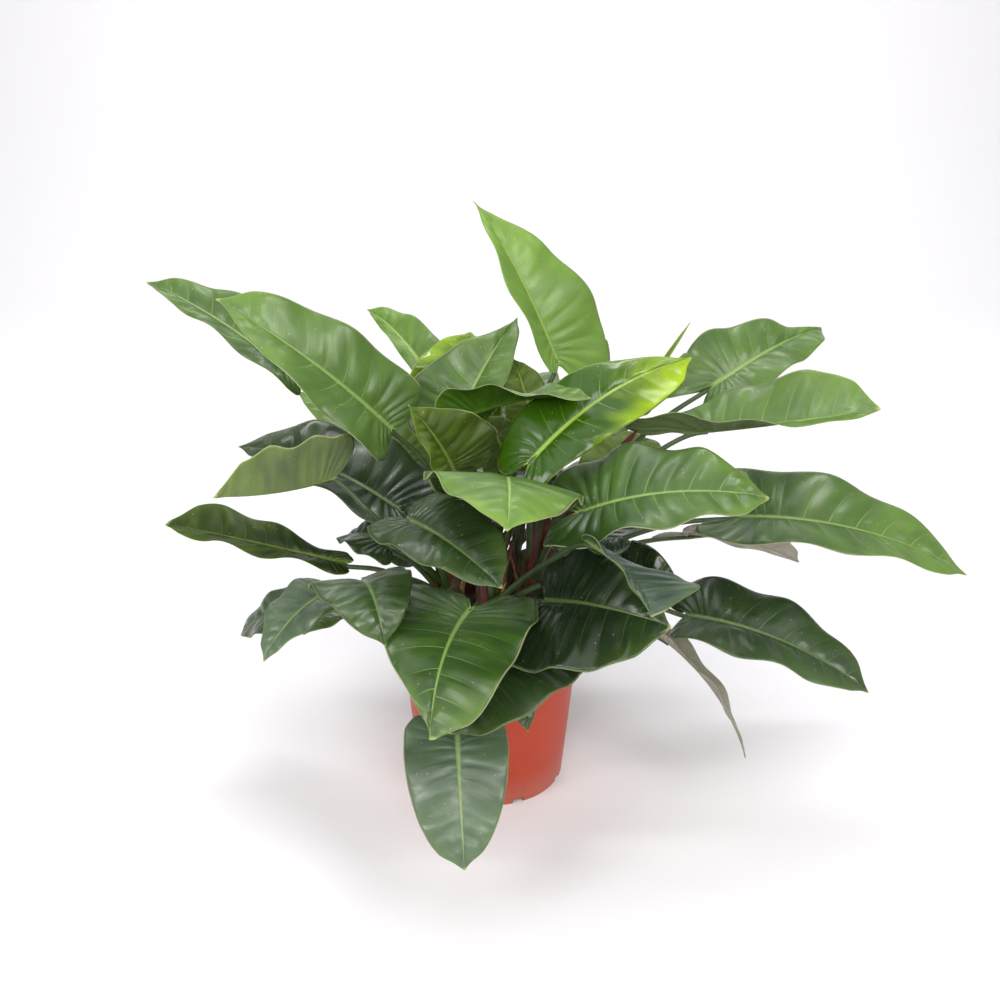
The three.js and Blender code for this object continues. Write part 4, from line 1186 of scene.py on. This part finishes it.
def makePot():
    pot = potSettings
    foot, rim, top = pot["footRadius"], pot["rimRadius"], pot["height"]
    edge, floor, band = pot["edge"], pot["floor"], pot["height"] - pot["bandHeight"]
    low, middle = pot["wallRings"]
    profile = [
        (0, 0), (foot - edge, 0), (foot - edge * 0.3, edge * 0.3), (foot, edge),
        (potOuter(low), low), (potOuter(middle), middle), (potOuter(band - 3), band - 3),
        (potOuter(band) + 0.4, band), (rim - edge, band + edge),
        (rim - edge * 0.4, band + edge * 1.6), (rim - 0.3, top - edge * 2.4),
        (rim, top - edge * 1.2), (rim - edge * 0.3, top - edge * 0.3), (rim - edge, top),
        (potInner(top) + edge / 2, top), (potInner(top), top - edge), (potInner(middle), middle),
        (potInner(floor), floor + edge), (potInner(floor) - edge, floor), (0, floor),
    ]
    source = latheMesh("potBody", profile, pot["segments"])
    lengths = ("footRadius", "notchWidth", "notchDepth", "notchHeight", "holeRadius", "holeCircle", "floor")
    addTree(source, makeDrainTree(), {
        **pot, **millimetres({key: pot[key] for key in lengths}), "material": materials["pot"],
    })
    soften = source.modifiers.new("softEdges", "BEVEL")
    soften.width = pot["rounding"] * mm
    soften.segments = 2
    soften.limit_method = "ANGLE"
    soften.angle_limit = math.radians(pot["roundedAngle"])
    piece = plainMesh(source, "finePot")
    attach(piece, "root")
    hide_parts("pot")


makePot()


print("soil")

soilSettings = {
    "top": 205,
    "mound": 8,
    "edgeDrop": 4,
    "gap": 0.3,
    "lumps": 3.2,
    "lumpScales": (60, 190),
    "rings": 34,
    "segments": 120,
    "crumbs": 52000,  # a square metre
    "smallest": 0.9,
    "largest": 3.4,
    "sizePower": 2.5,  # the higher it is, the more of them are small
    "crumbShape": (1.0, 0.8, 0.7),
    "crumbDent": (2.3, 0.35),
    "flattest": 0.6,  # none lie where the face looks up by less
    "seed": 11,
}


# Strews crumbs of soil and a few pale grains on the faces that look up.
def makeCrumbTree():
    soil = soilSettings
    tree, given, target = newModifierTree("soilCrumbs", {
        "Float": ("Density", "Smallest", "Largest"), "Int": ("Seed",), "Material": ("Material",),
    })
    lookingUp = calc("GREATER_THAN", split(wireOf(tree, "GeometryNodeInputNormal"))[2], soil["flattest"])
    points = wireOf(tree, "GeometryNodeDistributePointsOnFaces", {
        "Mesh": given["Geometry"], "Selection": lookingUp, "Density": given["Density"],
        "Seed": given["Seed"],
    }, "Points")
    ball = wireOf(tree, "GeometryNodeMeshIcoSphere", {"Radius": 1.0, "Subdivisions": 1})
    spot = wireOf(tree, "GeometryNodeInputPosition")
    dentScale, dentCut = soil["crumbDent"]
    dent = spot * (noiseOf(spot, dentScale) - dentCut)
    crumb = wireOf(tree, "GeometryNodeSetPosition", {"Geometry": ball, "Offset": dent})

    def chance(high, seedStep):
        node = addNode(tree, "FunctionNodeRandomValue", {"Seed": given["Seed"] + float(seedStep)})
        least, most = [socket for socket in node.inputs if socket.enabled][:2]
        least.default_value, most.default_value = 0.0, high
        return Wire([socket for socket in node.outputs if socket.enabled][0])

    spread = given["Largest"] - given["Smallest"]
    size = given["Smallest"] + spread * chance(1.0, 1) ** soil["sizePower"]
    turn = combine(chance(6.3, 2), chance(6.3, 3), chance(6.3, 4))
    points = store(points, "crumbTone", "FLOAT", chance(1.0, 5))
    crumbs = copiesOn(points, crumb, turn, combine(*(size * share for share in soil["crumbShape"])))
    both = realize(join(given["Geometry"], crumbs))
    sendOut(target, {"Geometry": setMaterial(both, given["Material"])})
    return tree


def makeSoil():
    soil = soilSettings
    edge = soil["top"] - soil["edgeDrop"]
    low = potSettings["floor"] + soil["gap"]
    wide = potInner(edge) - soil["gap"]
    profile = [(0, low), (potInner(low) - soil["gap"], low)]
    for ring in range(soil["rings"] + 1):
        share = 1 - ring / soil["rings"]
        rise = soil["mound"] * (1 - share ** 2) + soil["edgeDrop"] * (1 - share ** 8)
        profile.append((wide * share, edge + rise))
    source = latheMesh("soilBody", profile, soil["segments"])
    for corner in source.data.vertices:
        if corner.co.z > (edge - 1) * mm:
            reach = math.hypot(corner.co.x, corner.co.y) / (wide * mm)
            broad, fine = (noise.noise(corner.co * scale) for scale in soil["lumpScales"])
            corner.co.z += (broad + 0.5 * fine) * soil["lumps"] * mm * (1 - reach ** 10) * 0.8
    addTree(source, makeCrumbTree(), {
        **millimetres({key: soil[key] for key in ("smallest", "largest")}),
        "density": float(soil["crumbs"]), "seed": soil["seed"], "material": materials["soil"],
    })
    piece = plainMesh(source, "fineSoil")
    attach(piece, "root")
    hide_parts("soil")


makeSoil()


print("stems")

stemSettings = {
    "foot": 196,  # just below the soil's top
    "slim": 0.94,  # leaves room for the scars
    "scarStep": 15,
    "scarHeight": 0.09,
    "scarSharpness": 2.2,
    "scarTilt": 2.5,
    "scarTurn": 0.11,
    "roughness": 0.05,
    "grainScale": (2, 0.08),  # round the stem and up it
    "segments": 40,
    "rings": 56,
    "round": 8,
}

# Sheaths round each stem's crown: way round in degrees, root height, length, half width, lean outward,
# twist in degrees, finish
sheathRows = {
    "left": [
        (-100, 262, 120, 8, 10, 30, "sheathRed"), (-20, 240, 80, 7, 16, -40, "sheathDry"),
        (60, 285, 75, 6, 4, 20, "sheathRed"), (160, 232, 60, 8, 18, 60, "sheathDry"),
        (205, 228, 92, 9, 24, 30, "sheathRed"), (180, 222, 84, 9, 32, -20, "sheathGreen"),
    ],
    "right": [
        (-80, 258, 130, 8, 12, -20, "sheathRed"), (-150, 236, 85, 7, 14, 50, "sheathDry"),
        (10, 270, 150, 9, 26, 10, "sheathRed"), (120, 240, 60, 7, 12, -60, "sheathDry"),
        (185, 250, 122, 8, 2, 15, "sheathGreen"), (-170, 246, 96, 7, 12, -30, "sheathRed"),
    ],
    "front": [
        (-120, 236, 105, 8, 8, 15, "sheathRed"), (-50, 226, 80, 8, 14, -30, "sheathDry"),
        (40, 246, 90, 7, 10, 40, "sheathDry"), (140, 236, 70, 7, 8, -20, "sheathRed"),
        (72, 246, 134, 9, 5, 30, "sheathDry"), (20, 244, 142, 9, 12, 25, "sheathGreen"),
        (-12, 238, 112, 8, 12, -25, "sheathRed"),
    ],
    "back": [
        (-90, 270, 105, 8, 6, 25, "sheathRed"), (20, 250, 70, 8, 14, -50, "sheathDry"),
        (110, 236, 80, 8, 16, 35, "sheathDry"), (200, 264, 90, 7, 8, -15, "sheathRed"),
    ],
}

# Tall sheaths that stand among the leaf stalks: root, tip, half width, rise of the middle, finish
tallSheaths = {
    "sheathRed_tall": ((60, -8, 288), (174, -28, 482), 9, 8, "sheathRed"),
    "sheathDry_middle": ((12, -42, 268), (0, -40, 386), 7, 0, "sheathDry"),
    "sheathGreen_middle": ((19, 46, 240), (44, 52, 342), 9, 0, "sheathGreen"),
    "sheathGreen_inner": ((58, 14, 262), (70, 60, 368), 11, 0, "sheathGreen"),
    "sheathGreen_outer": ((66, 8, 275), (106, 72, 376), 12, 3, "sheathGreen"),
}

sheathSettings = {
    "rows": 22,
    "columns": 9,
    "cup": 0.6,
    "ruffle": 1.2,
    "ruffleScale": (5, 1.5),  # along and across
    "taper": (2.2, 0.7),
    "tallRows": 26,
    "tallColumns": 11,
    "tallCup": 0.5,
    "tallRuffle": 1.4,
    "tallRuffleScale": (4, 1.3),
    "tallTaper": (3, 0.6),
    "tallFoot": (0.45, 1.6),  # width at the root, and how fast it opens
    "clear": 2.5,  # from the stem's top
    "leastHalf": 0.3,
    "thickness": 0.5,
}


# A strip of faces. pointAt gives its points, by the share of the way up and across from -1 to 1.
def addStrip(body, rows, columns, pointAt):
    below = None
    for step in range(rows + 1):
        line = []
        for column in range(columns):
            line.append(body.verts.new(pointAt(step / rows, column / (columns - 1) * 2 - 1) * mm))
        if below:
            for a, b, c, d in zip(below, below[1:], line[1:], line):
                body.faces.new((a, b, c, d)).smooth = True
        below = line


# A dry pointed sheath: a cupped strip that narrows to its tip and curls away from its stem.
def addSheath(body, stem, row):
    way, root, length, half, lean, twist, _ = row
    sheath = sheathSettings
    outward = Vector((math.cos(math.radians(way)), math.sin(math.radians(way)), 0))
    beside = Vector((-outward.y, outward.x, 0))
    start = Vector((*stem["at"], root)) + outward * (stem["topRadius"] + sheath["clear"])
    (late, blunt), (alongScale, acrossScale) = sheath["taper"], sheath["ruffleScale"]

    def pointAt(share, across):
        centre = start + Vector((0, 0, length * share)) + outward * (lean * share ** 2)
        turn = math.radians(twist) * share ** 2
        wide = half * (1 - share ** late) ** blunt + sheath["leastHalf"]
        line = beside * math.cos(turn) + outward * math.sin(turn)
        facing = outward * math.cos(turn) - beside * math.sin(turn)
        spot = Vector((share * alongScale, across * acrossScale, way))
        ruffle = noise.noise(spot) * sheath["ruffle"]
        depth = ruffle - wide * across * across * sheath["cup"]
        return centre + line * (wide * across) + facing * depth

    addStrip(body, sheath["rows"], sheath["columns"], pointAt)


# A tall one stands free: a cupped strip from its root to its tip, its hollow side to the back.
def addTallSheath(body, row, number):
    root, tip, half, rise, _ = row
    sheath = sheathSettings
    root, tip = Vector(root), Vector(tip)
    along = (tip - root).normalized()
    front = (Vector((0, -1, 0)) + along * along.y).normalized()
    beside = along.cross(front)
    (late, blunt), (alongScale, acrossScale) = sheath["tallTaper"], sheath["tallRuffleScale"]
    narrow, opening = sheath["tallFoot"]

    def pointAt(share, across):
        centre = root.lerp(tip, share) + Vector((0, 0, rise * 4 * share * (1 - share)))
        wide = half * min(1, narrow + share * opening) * (1 - share ** late) ** blunt + sheath["leastHalf"]
        spot = Vector((share * alongScale, across * acrossScale, 7 + number))
        ruffle = noise.noise(spot) * sheath["tallRuffle"]
        depth = wide * sheath["tallCup"] * (1 - across * across) + ruffle
        return centre + beside * (wide * across) + front * depth

    addStrip(body, sheath["tallRows"], sheath["tallColumns"], pointAt)


def finishSheath(body, finish, name):
    source = pieceFrom(body, "sheathStrips")
    source.data.materials.append(materials[finish])
    thicken = source.modifiers.new("thickness", "SOLIDIFY")
    thicken.thickness = sheathSettings["thickness"] * mm
    piece = plainMesh(source, name)
    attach(piece, "root")


def makeSheaths(name, stem):
    for finish in sorted({row[-1] for row in sheathRows[name]}):
        body = bmesh.new()
        for row in sheathRows[name]:
            if row[-1] == finish:
                addSheath(body, stem, row)
        finishSheath(body, finish, f"{finish}_{name}")


def makeStem(name, stem):
    settings = stemSettings
    foot, top, tipRound = settings["foot"], stem["top"], settings["round"]

    # rings of old leaf scars, tilted a little each way in turn
    def scars(angle, height):
        tilt = settings["scarTilt"] * math.sin(angle + height * settings["scarTurn"])
        level = (height + tilt) / settings["scarStep"]
        gap = abs(level - round(level)) * 2
        ring = 1 + settings["scarHeight"] * (1 - min(1, gap * settings["scarSharpness"])) ** 2
        wide, tall = settings["grainScale"]
        grain = noise.noise(Vector((math.cos(angle) * wide, math.sin(angle) * wide, height * tall)))
        return ring + settings["roughness"] * grain

    profile = [(0, foot)]
    for ring in range(settings["rings"] + 1):
        share = ring / settings["rings"]
        height = foot + (top - foot) * share
        taper = (stem["topRadius"] - stem["radius"]) * settings["slim"] * share
        radius = stem["radius"] * settings["slim"] + taper
        toTop = top - height
        if toTop < tipRound:
            radius -= tipRound * (1 - math.sqrt(1 - (1 - toTop / tipRound) ** 2)) * 0.8
        profile.append((radius, height))
    profile.append((0, top))
    piece = latheMesh(f"fineStem_{name}", profile, settings["segments"], stem["at"], scars)
    piece.data.materials.append(materials["stemBark"])
    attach(piece, "root")
    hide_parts(f"stem_{name}")
    makeSheaths(name, stem)


for stemName, stem in stems.items():
    makeStem(stemName, stem)
for number, (name, row) in enumerate(tallSheaths.items()):
    body = bmesh.new()
    addTallSheath(body, row, number)
    finishSheath(body, row[-1], name)


print("camera and studio")

cameraSettings = {
    "place": (0.0128, -1.366, 0.934),
    "pitchDown": 22,  # degrees below the horizon
    "lens": 43.2,
    "sensor": 36,
}

studioSettings = {
    "floorColour": (0.86, 0.85, 0.87),
    "roughness": 0.85,
    "specular": 0.2,
    "halfWidth": 4.0,
    "near": -3.2,
    "far": 2.6,
    "bend": 1.2,  # radius of the sweep up into the wall
    "bendSteps": 16,
    "wallTop": 4.2,
    "skyColour": (0.95, 0.97, 1.0),
    "skyStrength": 0.45,
    "roomStrength": 0.12,  # the dark side of the room, behind the camera
    "skyTilt": 0.9,  # how much of the ceiling counts as bright
    "skyBlend": 0.7,  # half the width of the change from dark to bright
    "exposure": 0.0,
}

# name: place, aimed at, width, height, watts, colour
lampSettings = {
    "overheadBox": ((-0.1, -0.4, 2.7), (0.0, -0.1, 0.35), 2.4, 2.0, 13, (1.0, 0.99, 0.97)),
    "leftBox": ((-1.9, -1.9, 2.2), (0.0, 0.0, 0.35), 1.4, 1.4, 44, (1.0, 0.98, 0.96)),
    "rightBox": ((1.9, -1.9, 2.2), (0.0, 0.0, 0.35), 1.4, 1.4, 45, (1.0, 0.98, 0.97)),
    "frontBox": ((0.0, -2.9, 1.7), (0.0, 0.0, 0.3), 1.8, 0.9, 45, (1.0, 0.98, 0.97)),
    "wallWash": ((0.0, 1.2, 3.6), (0.0, 3.4, 1.2), 3.0, 0.8, 100, (1.0, 1.0, 1.0)),
}


def makeCamera():
    lens = bpy.data.cameras.new("photoCamera")
    lens.lens = cameraSettings["lens"]
    lens.sensor_width = cameraSettings["sensor"]
    camera = newPiece("photoCamera", lens)
    camera.location = cameraSettings["place"]
    camera.rotation_euler = (math.radians(90 - cameraSettings["pitchDown"]), 0, 0)
    scene.camera = camera


def makeLamps():
    for name, (place, aim, width, height, watts, colour) in lampSettings.items():
        light = bpy.data.lights.new(name, "AREA")
        light.shape = "RECTANGLE"
        light.size = width
        light.size_y = height
        light.energy = watts
        light.color = colour
        lamp = newPiece(name, light)
        lamp.location = place
        lamp.rotation_euler = (Vector(aim) - Vector(place)).to_track_quat("-Z", "Y").to_euler()


# White all round and above, dark on the camera's side of the room
def makeSky():
    settings = studioSettings
    world = bpy.data.worlds.new("studioAir")
    world.use_nodes = True
    tree = world.node_tree
    sky = tree.nodes["Background"]
    sky.inputs["Color"].default_value = (*settings["skyColour"], 1)
    looking = split(wireOf(tree, "ShaderNodeTexCoord", output="Generated"))
    brightSide = looking[1] + looking[2] * settings["skyTilt"]
    blend = settings["skyBlend"]
    dark, bright = settings["roomStrength"], settings["skyStrength"]
    plug(sky.inputs["Strength"], smoothStep(brightSide, -blend, blend, dark, bright))
    scene.world = world
    scene.view_settings.view_transform = "Standard"
    scene.view_settings.exposure = settings["exposure"]


def makeStage():
    settings = studioSettings
    far, bend, half = settings["far"], settings["bend"], settings["halfWidth"]
    profile = [(settings["near"], 0.0), (far, 0.0)]
    for step in range(1, settings["bendSteps"] + 1):
        angle = math.pi / 2 * step / settings["bendSteps"]
        profile.append((far + bend * math.sin(angle), bend * (1 - math.cos(angle))))
    profile.append((far + bend, settings["wallTop"]))
    body = bmesh.new()
    rows = [[body.verts.new((x, y, z)) for x in (-half, half)] for y, z in profile]
    for (a, b), (c, d) in zip(rows, rows[1:]):
        body.faces.new((a, b, d, c)).smooth = True
    sweep = pieceFrom(body, "studioSweep")
    material, _, skin = newMaterial("studioPaper", settings["roughness"], settings["specular"])
    skin.inputs["Base Color"].default_value = (*settings["floorColour"], 1)
    sweep.data.materials.append(material)


makeCamera()
makeLamps()
makeSky()
makeStage()
